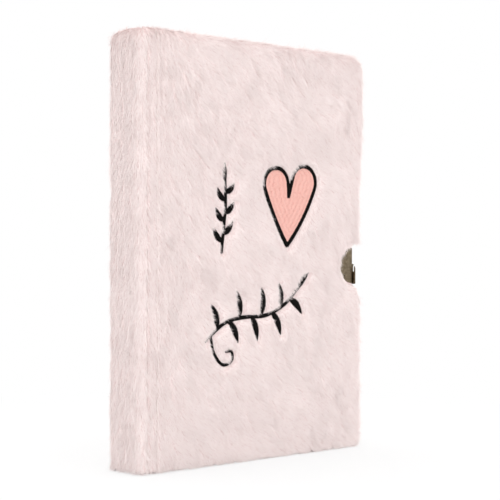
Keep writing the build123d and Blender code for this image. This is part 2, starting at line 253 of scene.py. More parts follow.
def grow(source: Piece, tree: Tree, values: dict[str, object], name: str) -> Piece:
    """Runs a Geometry Nodes tree on an object and freezes the result.

    Args:
        source: Object that the tree works on.
        tree: Tree with named inputs.
        values: Values of those inputs, by name.
        name: Name of the new piece.

    Returns:
        The frozen piece.
    """
    modifier = source.modifiers.new(tree.name, "NODES")
    modifier.node_group = tree
    for item in tree.interface.items_tree:
        if item.item_type == "SOCKET" and item.in_out == "INPUT" and item.name in values:
            modifier[item.identifier] = values[item.name]
    return freeze(source, name)


def new_tree(name: str, sockets: dict[str, Sequence[str]]) -> tuple[Tree, Node]:
    """Starts a Geometry Nodes tree with a geometry input, a geometry output and named inputs.

    Args:
        name: Name of the tree.
        sockets: Names of its inputs, by the kind of their sockets.

    Returns:
        The tree and its input node.
    """
    tree = bpy.data.node_groups.new(name, "GeometryNodeTree")
    for way in ("INPUT", "OUTPUT"):
        tree.interface.new_socket("Geometry", in_out=way, socket_type="NodeSocketGeometry")
    for kind, labels in sockets.items():
        for label in labels:
            tree.interface.new_socket(label, in_out="INPUT", socket_type=f"NodeSocket{kind}")
    return tree, tree.nodes.new("NodeGroupInput")


def dress(piece: Piece, body: str, slot: str, *nodes: str) -> Piece:
    """Lets a finished piece ride on its body and stand for the solids it replaces.

    Args:
        piece: Finished piece.
        body: Body that carries it.
        slot: Material slot of the record; not used.
        *nodes: Solids that it stands for.

    Returns:
        The same piece.
    """
    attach(piece, body)
    if nodes:
        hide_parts(*nodes)
    LOG.info("%s: %d faces on %s", piece.name, len(piece.data.polygons), body)
    return piece


# Finishes


@dataclass(frozen=True)
class Finish:
    """A material with a Principled surface.

    Attributes:
        name: Common name of the material and how it was made.
    """

    name: str

    def constants(self) -> dict[str, object]:
        """Values that are the same all over the surface, by the shader's own sockets."""
        return {}

    def pattern(self, add: Adder, shader: bpy.types.bpy_prop_collection) -> None:
        """Adds the nodes of what varies over the surface.

        Args:
            add: Adds a node to the material's tree.
            shader: Inputs of the Principled surface.
        """

    def make(self) -> Material:
        """Builds the material.

        Returns:
            The new material.
        """
        material = bpy.data.materials.new(self.name)
        material.use_nodes = True
        shader = material.node_tree.nodes["Principled BSDF"].inputs
        for key, value in self.constants().items():
            shader[key].default_value = value
        self.pattern(partial(add_node, material.node_tree), shader)
        return material


@dataclass(frozen=True)
class PileFibre(Finish):
    """Acrylic pile fibre: fine, soft and dull, so it only scatters. Its pattern is the fibres themselves.

    Attributes:
        tint: Colour of the fibre.
    """

    tint: FibreTint

    def constants(self) -> dict[str, object]:
        """A matt fibre without gloss."""
        return {"Roughness": 0.9, "Specular IOR Level": 0.0, "Base Color": linear(self.tint.value)}


@dataclass(frozen=True)
class UnderPile(Finish):
    """Dense underfur of the pile, knitted into its ground: matt, with short fibres that shade each other.

    Attributes:
        light: Colour of the fibres' tips.
        dark: Colour between them, painted shade where the fibres shade each other.
        fibre_mm: Width of a lock of fibres.
        drawn_out: How far the locks are drawn out along Z, as a share of their number there.
        relief_mm: Depth between them.
    """

    light: str = "#EFDCDA"
    dark: str = "#E0CBC9"
    fibre_mm: float = 0.9
    drawn_out: float = 0.35
    relief_mm: float = 0.4

    def constants(self) -> dict[str, object]:
        """A matt surface."""
        return {"Roughness": 0.95, "Specular IOR Level": 0.1}

    def pattern(self, add: Adder, shader: bpy.types.bpy_prop_collection) -> None:
        """Adds fibres that lie mostly down the cover."""
        place = add("ShaderNodeTexCoord").outputs["Object"]
        drawn = add("ShaderNodeMapping", {"Vector": place, "Scale": (1.0, 1.0, self.drawn_out)})
        fibres = add(
            "ShaderNodeTexNoise",
            {"Vector": drawn, "Scale": 1 / (self.fibre_mm * MM), "Detail": 3.0, "Roughness": 0.6},
        )
        # painted shade: the colour is darker between the locks of fibres
        colours = add("ShaderNodeValToRGB", {"Fac": fibres}, to=shader["Base Color"])
        set_stops(colours.color_ramp, {0.3: self.dark, 0.65: self.light})
        relief = {"Height": fibres, "Strength": 0.5, "Distance": self.relief_mm * MM}
        add("ShaderNodeBump", relief, to=shader["Normal"])


@dataclass(frozen=True)
class StitchThread(Finish):
    """Rayon embroidery thread: twisted filaments with a silky gloss along the stitch.

    Attributes:
        light: Colour on the twist.
        dark: Colour in it, painted shade between the twisted filaments.
        twist_mm: Size of the twist, far finer on real thread and here coarse enough to break the gloss.
        relief_mm: Depth of the twist.
        roughness: Roughness of the gloss.
        gloss: Level of the gloss.
        sheen: Weight of the sheen.
    """

    light: str = "#EDBDB2"
    dark: str = "#E4A398"
    twist_mm: float = 0.35
    relief_mm: float = 0.1
    roughness: float = 0.45
    gloss: float = 0.25
    sheen: float = 0.2

    def constants(self) -> dict[str, object]:
        """Gloss and sheen of the thread."""
        return {
            "Roughness": self.roughness,
            "Specular IOR Level": self.gloss,
            "Sheen Weight": self.sheen,
            "Sheen Roughness": 0.4,
        }

    def pattern(self, add: Adder, shader: bpy.types.bpy_prop_collection) -> None:
        """Adds the twist."""
        place = add("ShaderNodeTexCoord").outputs["Object"]
        twist = add(
            "ShaderNodeTexNoise",
            {"Vector": place, "Scale": 1 / (self.twist_mm * MM), "Detail": 2.0, "Roughness": 0.5},
        )
        # painted shade: the colour is darker in the twist between the filaments
        colours = add("ShaderNodeValToRGB", {"Fac": twist}, to=shader["Base Color"])
        set_stops(colours.color_ramp, {0.32: self.dark, 0.62: self.light})
        relief = {"Height": twist, "Strength": 0.25, "Distance": self.relief_mm * MM}
        add("ShaderNodeBump", relief, to=shader["Normal"])


@dataclass(frozen=True)
class Paper(Finish):
    """Uncoated book paper: matt, faintly flecked, with the edges of its leaves showing as fine lines.

    Attributes:
        light: Colour of the sheet.
        shade: Colour of the painted shade between the leaves on the edges, and of the flecks on the faces.
        rule_colour: Colour of the ruled lines.
        ruled: Whether its faces carry ruled lines.
        fleck_mm: Size of the flecks.
        leaf_mm: Spacing of the leaf lines on its edges, coarser than real leaves so that they show.
        leaf_run: How far a leaf line is drawn out, as a share of their number along the edge.
        rule_mm: Spacing of the ruled lines.
        rule_width_mm: Their width.
        relief_mm: Depth of the flecks and of the leaf lines.
    """

    light: str = "#E9E5DC"
    shade: str = "#C9C0B2"
    rule_colour: str = "#C9C3CF"
    ruled: bool = False
    fleck_mm: float = 1.5
    leaf_mm: float = 0.32
    leaf_run: float = 0.012
    rule_mm: float = 8.0
    rule_width_mm: float = 0.35
    relief_mm: float = 0.1

    def constants(self) -> dict[str, object]:
        """A matt surface."""
        return {"Roughness": 0.9, "Specular IOR Level": 0.2}

    def pattern(self, add: Adder, shader: bpy.types.bpy_prop_collection) -> None:
        """Adds flecks and rules on the faces, and leaf lines on the edges."""
        here = add("ShaderNodeTexCoord").outputs
        place = here["Object"]
        flecks = {"Vector": place, "Scale": 1 / (self.fleck_mm * MM), "Detail": 4.0}
        fleck = add("ShaderNodeTexNoise", flecks)
        # leaves lie across Y: noise stretched along X and Z draws their edges
        thin = add("ShaderNodeMapping", {"Vector": place, "Scale": (self.leaf_run, 1.0, self.leaf_run)})
        lines = {"Vector": thin, "Scale": 1 / (self.leaf_mm * MM), "Detail": 1.0}
        leaves = add("ShaderNodeTexNoise", lines)
        # the leaf's own normal, which turns with it
        facing = add("ShaderNodeSeparateXYZ", {"Vector": here["Normal"]}).outputs["Y"]
        face = add("ShaderNodeMath", {0: facing}, operation="ABSOLUTE")
        on_face = add("ShaderNodeMath", {0: face, 1: 0.7}, operation="GREATER_THAN")
        grain = add("ShaderNodeMix", {"Factor": on_face, "A": leaves, "B": fleck}, data_type="FLOAT")
        depth = add(
            "ShaderNodeMapRange",
            {"Value": grain, "From Min": 0.35, "From Max": 0.62, "To Min": 1.0, "To Max": 0.0},
        )
        # flecks on a face are far weaker than the lines between leaves
        weak = add("ShaderNodeMath", {0: on_face, 1: -0.9, 2: 1.0}, operation="MULTIPLY_ADD")
        amount = add("ShaderNodeMath", {0: depth, 1: weak}, operation="MULTIPLY")
        # the lines between leaves on the edges are painted shade; the faint flecks on the faces are the
        # paper's own
        colours = {"Factor": amount, "A": linear(self.light), "B": linear(self.shade)}
        colour = add("ShaderNodeMix", colours, to=shader["Base Color"], data_type="RGBA")
        if self.ruled:
            height = add("ShaderNodeSeparateXYZ", {"Vector": place}).outputs["Z"]
            row = add("ShaderNodeMath", {0: height, 1: self.rule_mm * MM}, operation="MODULO")
            line = add("ShaderNodeMath", {0: row, 1: self.rule_width_mm * MM}, operation="LESS_THAN")
            drawn = add("ShaderNodeMath", {0: line, 1: on_face}, operation="MULTIPLY")
            colours = {"Factor": drawn, "A": colour, "B": linear(self.rule_colour)}
            add("ShaderNodeMix", colours, to=shader["Base Color"], data_type="RGBA")
        relief = {"Height": grain, "Strength": 0.15, "Distance": self.relief_mm * MM}
        add("ShaderNodeBump", relief, to=shader["Normal"])


@dataclass(frozen=True)
class AntiquePlating(Finish):
    """Antique-brass plating on pressed steel: dull brown, faintly clouded, with fine brush marks.

    Attributes:
        bright: Colour where the plating is rubbed.
        brown: Colour where it has dulled.
        tarnish_mm: Size of the clouds.
        brush_mm: Width of a brush mark.
        brush_run: How far the marks are drawn out along Z, as a share of their number there.
        relief_mm: Depth of a brush mark.
        grease: Colour of the painted shade in a recess, such as the keyway.
        recess_x: Place along X below which a recess is painted in shade, in metres.
        recess_run: Distance over which the painted shade begins, in metres.
    """

    bright: str = "#8B7D67"
    brown: str = "#6E6251"
    tarnish_mm: float = 1.5
    brush_mm: float = 0.18
    brush_run: float = 0.05
    relief_mm: float = 0.05
    grease: str = "#16120D"
    recess_x: float = -1.0
    recess_run: float = 0.1 * MM

    def constants(self) -> dict[str, object]:
        """A metal."""
        return {"Metallic": 1.0}

    def pattern(self, add: Adder, shader: bpy.types.bpy_prop_collection) -> None:
        """Adds tarnish, painted shade in a recess and brush marks."""
        place = add("ShaderNodeTexCoord").outputs["Object"]
        clouds = {"Vector": place, "Scale": 1 / (self.tarnish_mm * MM), "Detail": 5.0}
        cloud = add("ShaderNodeTexNoise", clouds)
        drawn = add("ShaderNodeMapping", {"Vector": place, "Scale": (1.0, 1.0, self.brush_run)})
        brushed = add("ShaderNodeTexNoise", {"Vector": drawn, "Scale": 1 / (self.brush_mm * MM)})
        colours = add("ShaderNodeValToRGB", {"Fac": cloud})
        set_stops(colours.color_ramp, {0.34: self.brown, 0.66: self.bright})
        # painted shade: below recess_x the colour runs to near black, as shade deep in the keyway
        along = add("ShaderNodeSeparateXYZ", {"Vector": place}).outputs["X"]
        begins, ends = self.recess_x - self.recess_run, self.recess_x
        deep = add("ShaderNodeMapRange", {"Value": along, "From Min": begins, "From Max": ends})
        shaded_keyway = {"Factor": deep, "A": linear(self.grease), "B": colours}
        add("ShaderNodeMix", shaded_keyway, to=shader["Base Color"], data_type="RGBA")
        add(
            "ShaderNodeMapRange",
            {"Value": cloud, "From Min": 0.3, "From Max": 0.7, "To Min": 0.5, "To Max": 0.32},
            to=shader["Roughness"],
        )
        relief = {"Height": brushed, "Strength": 0.12, "Distance": self.relief_mm * MM}
        add("ShaderNodeBump", relief, to=shader["Normal"])


@dataclass(frozen=True)
class StampedSteel(Finish):
    """Bare stamped steel of the lock's inside: grey, rolled along one way, with a film of oil.

    Attributes:
        light: Colour on the roll marks.
        dark: Colour between them.
        roll_mm: Width of a roll mark.
        roll_run: How far the marks are drawn out along Z, as a share of their number there.
    """

    light: str = "#B9B8B4"
    dark: str = "#8E8D8A"
    roll_mm: float = 0.15
    roll_run: float = 0.04

    def constants(self) -> dict[str, object]:
        """A metal."""
        return {"Metallic": 1.0}

    def pattern(self, add: Adder, shader: bpy.types.bpy_prop_collection) -> None:
        """Adds the roll marks."""
        place = add("ShaderNodeTexCoord").outputs["Object"]
        drawn = add("ShaderNodeMapping", {"Vector": place, "Scale": (1.0, 1.0, self.roll_run)})
        rolled = add("ShaderNodeTexNoise", {"Vector": drawn, "Scale": 1 / (self.roll_mm * MM)})
        colours = {"Factor": rolled, "A": linear(self.dark), "B": linear(self.light)}
        add("ShaderNodeMix", colours, to=shader["Base Color"], data_type="RGBA")
        add(
            "ShaderNodeMapRange",
            {"Value": rolled, "From Min": 0.2, "From Max": 0.8, "To Min": 0.28, "To Max": 0.45},
            to=shader["Roughness"],
        )


@dataclass(frozen=True)
class BinderBoard(Finish):
    """Grey-brown binder's board, pressed from waste paper: matt, with coarse flecks.

    Attributes:
        light: Colour of the light flecks.
        dark: Colour of the dark ones.
        fleck_mm: Size of a fleck.
        relief_mm: Depth between flecks.
    """

    light: str = "#A99D8D"
    dark: str = "#857A6C"
    fleck_mm: float = 1.2
    relief_mm: float = 0.2

    def constants(self) -> dict[str, object]:
        """A matt surface."""
        return {"Roughness": 0.92, "Specular IOR Level": 0.15}

    def pattern(self, add: Adder, shader: bpy.types.bpy_prop_collection) -> None:
        """Adds the flecks."""
        place = add("ShaderNodeTexCoord").outputs["Object"]
        flecks = {"Vector": place, "Scale": 1 / (self.fleck_mm * MM), "Detail": 6.0}
        fleck = add("ShaderNodeTexNoise", flecks)
        colours = {"Factor": fleck, "A": linear(self.dark), "B": linear(self.light)}
        add("ShaderNodeMix", colours, to=shader["Base Color"], data_type="RGBA")
        relief = {"Height": fleck, "Strength": 0.2, "Distance": self.relief_mm * MM}
        add("ShaderNodeBump", relief, to=shader["Normal"])


@dataclass(frozen=True)
class Gauze(Finish):
    """Open-weave cotton gauze glued on the backs of the sections.

    Attributes:
        light: Colour of the threads.
        dark: Colour of the glue between them.
        thread_mm: Spacing of the threads.
        wave_turns: Radians that the wave texture counts to its unit.
    """

    light: str = "#EDE8DA"
    dark: str = "#B9B09B"
    thread_mm: float = 1.1
    wave_turns: float = 20.0

    def constants(self) -> dict[str, object]:
        """A matt surface."""
        return {"Roughness": 0.9, "Specular IOR Level": 0.2}

    def pattern(self, add: Adder, shader: bpy.types.bpy_prop_collection) -> None:
        """Adds the weave."""
        place = add("ShaderNodeTexCoord").outputs["Object"]
        waves = {"Vector": place, "Scale": 2 * math.pi / (self.wave_turns * self.thread_mm * MM)}
        threads = [
            add("ShaderNodeTexWave", waves, bands_direction=way).outputs["Fac"] for way in ("Y", "Z")
        ]
        weave = add("ShaderNodeMath", {0: threads[0], 1: threads[1]}, operation="MAXIMUM")
        colours = {"Factor": weave, "A": linear(self.dark), "B": linear(self.light)}
        add("ShaderNodeMix", colours, to=shader["Base Color"], data_type="RGBA")


# Sizes shared by the sub-assemblies


@dataclass(frozen=True)
class BookStations:
    """Stations of the closed book, read from its solids, in metres. Y counts outwards from the middle.

    Attributes:
        x_hinge: Outer face of the spine board, where the covers turn.
        x_joint: Spine-side edge of the boards.
        x_edge: Fore-edge of the boards.
        y_in: Inner face of a board.
        y_out: Outer face of a board.
        z_tail: Tail edge of the boards.
        z_head: Head edge of the boards.
        pile: Thickness of the plush over a board.
        lock_z: Height of the lock plate's middle.
        lock_r: Radius of the lock plate.
        stitch_y: Height over the middle on which the embroidery lies.
    """

    x_hinge: float
    x_joint: float
    x_edge: float
    y_in: float
    y_out: float
    z_tail: float
    z_head: float
    pile: float
    lock_z: float
    lock_r: float
    stitch_y: float

    @classmethod
    def from_solids(cls) -> "BookStations":
        """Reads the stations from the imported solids.

        Returns:
            The stations.
        """
        low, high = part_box("front_board")
        spine_low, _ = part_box("spine_board")
        plush_low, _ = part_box("front_plush")
        plate_low, plate_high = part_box("lock_plate")
        _, heart_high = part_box("heart_fill")
        return cls(
            x_hinge=spine_low.x,
            x_joint=low.x,
            x_edge=high.x,
            y_in=-high.y,
            y_out=-low.y,
            z_tail=low.z,
            z_head=high.z,
            pile=low.y - plush_low.y,
            lock_z=(plate_low.z + plate_high.z) / 2,
            lock_r=(plate_high.z - plate_low.z) / 2,
            stitch_y=-heart_high.y,
        )


# Plush


@dataclass(frozen=True)
class PlushGround:
    """Ground of the plush: backing and underfur wrapped round the boards, as closed thick sheets.

    Attributes:
        book: Stations of the book.
        stitched: Distance of a place on the front cover from the embroidery.
        comb: Way in which the pile lies at a place.
        underfur: Height of the underfur over a board's face.
        fore_underfur: The same over its fore-edge.
        tail_underfur: The same under its tail.
        backing: Thickness of the bare backing beside the lock.
        lining: Height of a sheet's inner side over its board, as a share of its underfur.
        step: Spacing of the mesh.
        corner: Corner radius of the boards.
        arc_steps: Mesh steps round a board's edge.
        joint_columns: Mesh columns across a joint, past its fold.
        spine_steps: Mesh steps round an edge of the spine.
        spine_columns: Mesh columns across its back.
        spine_reach: How far the spine's ends are turned over, as a share of a right angle.
        groove: Share of the underfur that is pressed down along a joint.
        fold: Width of the strip beside the hinge in which a joint folds and no pile grows.
        lump: Depth of the underfur's unevenness.
        lump_size: Width of its lumps.
        notch_gap: Bare margin round the lock plate.
        notch_rise: Distances from the notch between which the underfur rises to its height.
        notch_above: How far the notch reaches over the lock's middle on the fore-edge.
        notch_below: How far it reaches under it.
        notch_slope: How steeply the underfur rises again below it, where the pile lies away from the lock.
        head_fuller: Extra height of the underfur over the head.
        fore_fuller: Extra height over the fore-edge near the head.
        fore_from: Heights between which it builds up.
        crown: Half-width of the round in which the spine's head falls off to both covers.
        stitch_sink: Distance over which the underfur rises again beside a stitched stroke.
        turn_in: How far the backing is turned in on a board's inner face.
        turn_in_share: Its thickness there, as a share of the board's.
    """

    book: BookStations
    stitched: Callable[[float, float], float]
    comb: Comb
    underfur: float = 4.1 * MM
    fore_underfur: float = 3.7 * MM
    tail_underfur: float = 1.4 * MM
    backing: float = 0.3 * MM
    lining: float = 0.04
    step: float = 1.3 * MM
    corner: float = 3.0 * MM
    arc_steps: int = 4
    joint_columns: int = 6
    spine_steps: int = 6
    spine_columns: int = 9
    spine_reach: float = 0.93
    groove: float = 0.03
    fold: float = 0.6 * MM
    lump: float = 0.45 * MM
    lump_size: float = 9.0 * MM
    notch_gap: float = 1.0 * MM
    notch_rise: tuple[float, float] = (-0.3 * MM, 2.2 * MM)
    notch_above: float = 11.2 * MM
    notch_below: float = 9.8 * MM
    notch_slope: float = 0.3
    head_fuller: float = 1.0 * MM
    fore_fuller: float = 3.4 * MM
    fore_from: tuple[float, float] = (128 * MM, 175 * MM)
    crown: float = 16 * MM
    stitch_sink: float = 2.2 * MM
    turn_in: float = 3.4 * MM
    turn_in_share: float = 0.05

    def edge_profile(self) -> list[tuple[float, float, float]]:
        """Steps from the flat of a board over its edge to its inner face.

        Returns:
            For each step, the way along the board's corner radius, the share of the pile that
            points outwards past the edge and the share that stands over the face; past the round,
            the last one turns negative and counts board thicknesses down the edge.
        """
        steps = [(self.corner * k / 2, 0.0, 1.0) for k in range(2)]
        for k in range(self.arc_steps + 1):
            turn = math.pi / 2 * k / self.arc_steps
            steps.append((self.corner, math.sin(turn), math.cos(turn)))
        steps += [(self.corner, 1.0, -0.5), (self.corner, 1.0, -1.0)]
        steps.append((self.corner - self.turn_in, 0.0, -1.0 - self.turn_in_share))
        return steps

    def end_profile(self, reach: float) -> list[tuple[float, float, float]]:
        """Steps along Z over a joint or the spine, from below its tail to above its head.

        Args:
            reach: How far round the edge the sheet goes, as a share of a right angle.

        Returns:
            For each step, the height on the boards, the share of the pile outwards and the rise past the end.
        """
        b = self.book
        turns = [math.pi / 2 * reach * k / self.arc_steps for k in range(self.arc_steps, 0, -1)]
        steps = [(b.z_tail, math.cos(t), -self.tail_underfur * math.sin(t)) for t in turns]
        count = round((b.z_head - b.z_tail) / self.step)
        steps += [(z, 1.0, 0.0) for z in np.linspace(b.z_tail, b.z_head, count)]
        over_head = self.underfur + self.head_fuller
        steps += [(b.z_head, math.cos(t), over_head * math.sin(t)) for t in reversed(turns)]
        return steps

    def notch_distance(self, x: float, z: float) -> float:
        """Distance of a place on a board from the notch round the lock plate.

        Args:
            x: Place along X, in metres.
            z: Place along Z, in metres.

        Returns:
            The distance in metres, below 0 in the notch.
        """
        up = z - self.book.lock_z
        if x > self.book.x_edge:
            return up - self.notch_above if up > 0 else (-up - self.notch_below) * self.notch_slope
        return math.hypot(x - self.book.x_edge, up) - self.book.lock_r - self.notch_gap

    def unevenness(self, x: float, y: float, z: float) -> float:
        """Soft lumps of the underfur at a place, in metres."""
        return self.lump * noise.noise(Vector((x, y, z)) / self.lump_size)

    def sheet(self, name: str, outer: np.ndarray, inner: np.ndarray, furred: np.ndarray) -> Piece:
        """Closes two grids of points into a thick sheet and marks where pile grows on it.

        Args:
            name: Name of the piece.
            outer: Grid of points on the underfur.
            inner: Grid of points on the board.
            furred: 1 at the outer points between which pile grows.

        Returns:
            The closed sheet, with the attributes "outer" and "comb".
        """
        rows, columns = furred.shape
        count = rows * columns
        number = np.arange(count).reshape(rows, columns)
        faces = []
        for i in range(rows - 1):
            for j in range(columns - 1):
                a, b, c, d = number[i, j], number[i, j + 1], number[i + 1, j + 1], number[i + 1, j]
                faces.append((a, b, c, d))
                faces.append((d + count, c + count, b + count, a + count))
        rim = [*number[0, :], *number[1:, -1], *number[-1, -2::-1], *number[-2:0:-1, 0]]
        for a, b in zip(rim, rim[1:] + rim[:1]):
            faces.append((b, a, a + count, b + count))
        points = np.concatenate([outer.reshape(-1, 3), inner.reshape(-1, 3)])
        piece = mesh_object(name, points, faces)
        grown = piece.data.attributes.new("outer", "FLOAT", "POINT")
        grown.data.foreach_set("value", np.concatenate([furred.ravel(), np.zeros(count)]))
        lie = piece.data.attributes.new("comb", "FLOAT_VECTOR", "POINT")
        lie.data.foreach_set("vector", np.array([self.comb(Vector(p)) for p in points]).ravel())
        self.turn_outwards(piece)
        return piece

    @staticmethod
    def turn_outwards(piece: Piece) -> None:
        """Turns all faces of a closed sheet round if they point inwards."""
        work = bmesh.new()
        work.from_mesh(piece.data)
        if work.calc_volume(signed=True) < 0:
            bmesh.ops.reverse_faces(work, faces=work.faces)
        work.to_mesh(piece.data)
        work.free()
        piece.data.update()

    def cover(self, side: CoverSide) -> Piece:
        """Ground over a board's outer face, fore-edge, head and tail.

        Args:
            side: Which cover.

        Returns:
            The closed sheet.
        """
        b = self.book
        profile = self.edge_profile()
        x_flat, z_low, z_high = b.x_edge - self.corner, b.z_tail + self.corner, b.z_head - self.corner
        columns = [(x, 0) for x in np.linspace(b.x_joint, x_flat, round((x_flat - b.x_joint) / self.step))]
        columns += [(x_flat, k) for k in range(1, len(profile))]
        rows = [(z_low, -k) for k in range(len(profile) - 1, 0, -1)]
        rows += [(z, 0) for z in np.linspace(z_low, z_high, round((z_high - z_low) / self.step))]
        rows += [(z_high, k) for k in range(1, len(profile))]
        shape = (len(rows), len(columns))
        outer, inner = np.zeros((*shape, 3)), np.zeros((*shape, 3))
        for i, (z, at_end) in enumerate(rows):
            for j, (x, at_edge) in enumerate(columns):
                along, out, over = profile[max(abs(at_end), at_edge)]
                turn = math.atan2(abs(at_end), at_edge)
                way_x, way_z = math.cos(turn), math.copysign(math.sin(turn), at_end)
                flat_x, flat_z = x + along * way_x, z + along * way_z
                end_pile = self.tail_underfur if at_end < 0 else self.underfur + self.head_fuller
                fore_pile = self.fore_underfur + self.fore_fuller * float(smooth(flat_z, *self.fore_from))
                past_x = flat_x + out * fore_pile * way_x
                bare = 1 - smooth(self.notch_distance(past_x, flat_z), *self.notch_rise)
                free = 1.0
                if side is CoverSide.FRONT:
                    free = float(smooth(self.stitched(flat_x, flat_z), 0.0, self.stitch_sink))
                sunk = (1 - free) * (self.underfur - (b.stitch_y - b.y_out))
                uneven = self.unevenness(flat_x, 0.0, flat_z) * (1 - bare) * free - sunk
                for grid, share, lumps in ((outer, 1.0, 1.0), (inner, self.lining, 0.0)):
                    pile = share + (self.backing / self.underfur - share) * bare * lumps
                    rise = self.underfur * pile + uneven * lumps
                    drop = min(max(-over, 0.0), 1.0 + self.turn_in_share * lumps) * (b.y_out - b.y_in)
                    grid[i, j] = (
                        flat_x + out * fore_pile * pile * way_x,
                        side.value * (b.y_out + max(over, 0.0) * rise - drop),
                        flat_z + out * end_pile * pile * way_z,
                    )
        furred = np.ones(shape)
        furred[0, :] = furred[-1, :] = furred[:, -1] = 0.0
        return self.sheet(f"{side.word}_underfur", outer, inner, furred)

    def joint(self, side: CoverSide) -> Piece:
        """Ground across a joint, between the spine and a board.

        Args:
            side: Which cover.

        Returns:
            The closed sheet.
        """
        b = self.book
        across = [b.x_hinge, *np.linspace(b.x_hinge + self.fold, b.x_joint, self.joint_columns)]
        steps = self.end_profile(1.0)
        shape = (len(steps), len(across))
        outer, inner = np.zeros((*shape, 3)), np.zeros((*shape, 3))
        for i, (z, out, past) in enumerate(steps):
            for j, x in enumerate(across):
                pressed = 1 - self.groove * math.sin(math.pi * j / (len(across) - 1))
                rise = self.underfur * pressed + self.unevenness(x, 0.0, z)
                for grid, share in ((outer, 1.0), (inner, self.lining)):
                    grid[i, j] = (x, side.value * (b.y_out + share * rise * out), z + share * past)
        furred = np.ones(shape)
        furred[:, 0] = 0.0
        return self.sheet(f"{side.word}_joint_underfur", outer, inner, furred)

    def spine(self) -> Piece:
        """Ground round the spine, turned about both hinge lines.

        Returns:
            The closed sheet.
        """
        b = self.book
        turns = [math.pi / 2 * k / self.spine_steps for k in range(self.spine_steps + 1)]
        around = [(-b.y_out, -math.sin(t), -math.cos(t)) for t in turns]
        around += [(y, -1.0, 0.0) for y in np.linspace(-b.y_out, b.y_out, self.spine_columns)[1:-1]]
        around += [(b.y_out, -math.cos(t), math.sin(t)) for t in turns]
        steps = self.end_profile(self.spine_reach)
        shape = (len(steps), len(around))
        outer, inner = np.zeros((*shape, 3)), np.zeros((*shape, 3))
        for i, (z, out, past) in enumerate(steps):
            for j, (y, way_x, way_y) in enumerate(around):
                rise = (self.underfur + self.unevenness(b.x_hinge, y, z)) * out
                fall = math.sqrt(1 - ((y + way_y * rise) / self.crown) ** 2) if past > 0 else 1.0
                for grid, share, ended in ((outer, 1.0, fall), (inner, self.lining, self.lining)):
                    grid[i, j] = (b.x_hinge + way_x * rise * share, y + way_y * rise * share, z + past * ended)
        return self.sheet("spine_underfur", outer, inner, np.ones(shape))


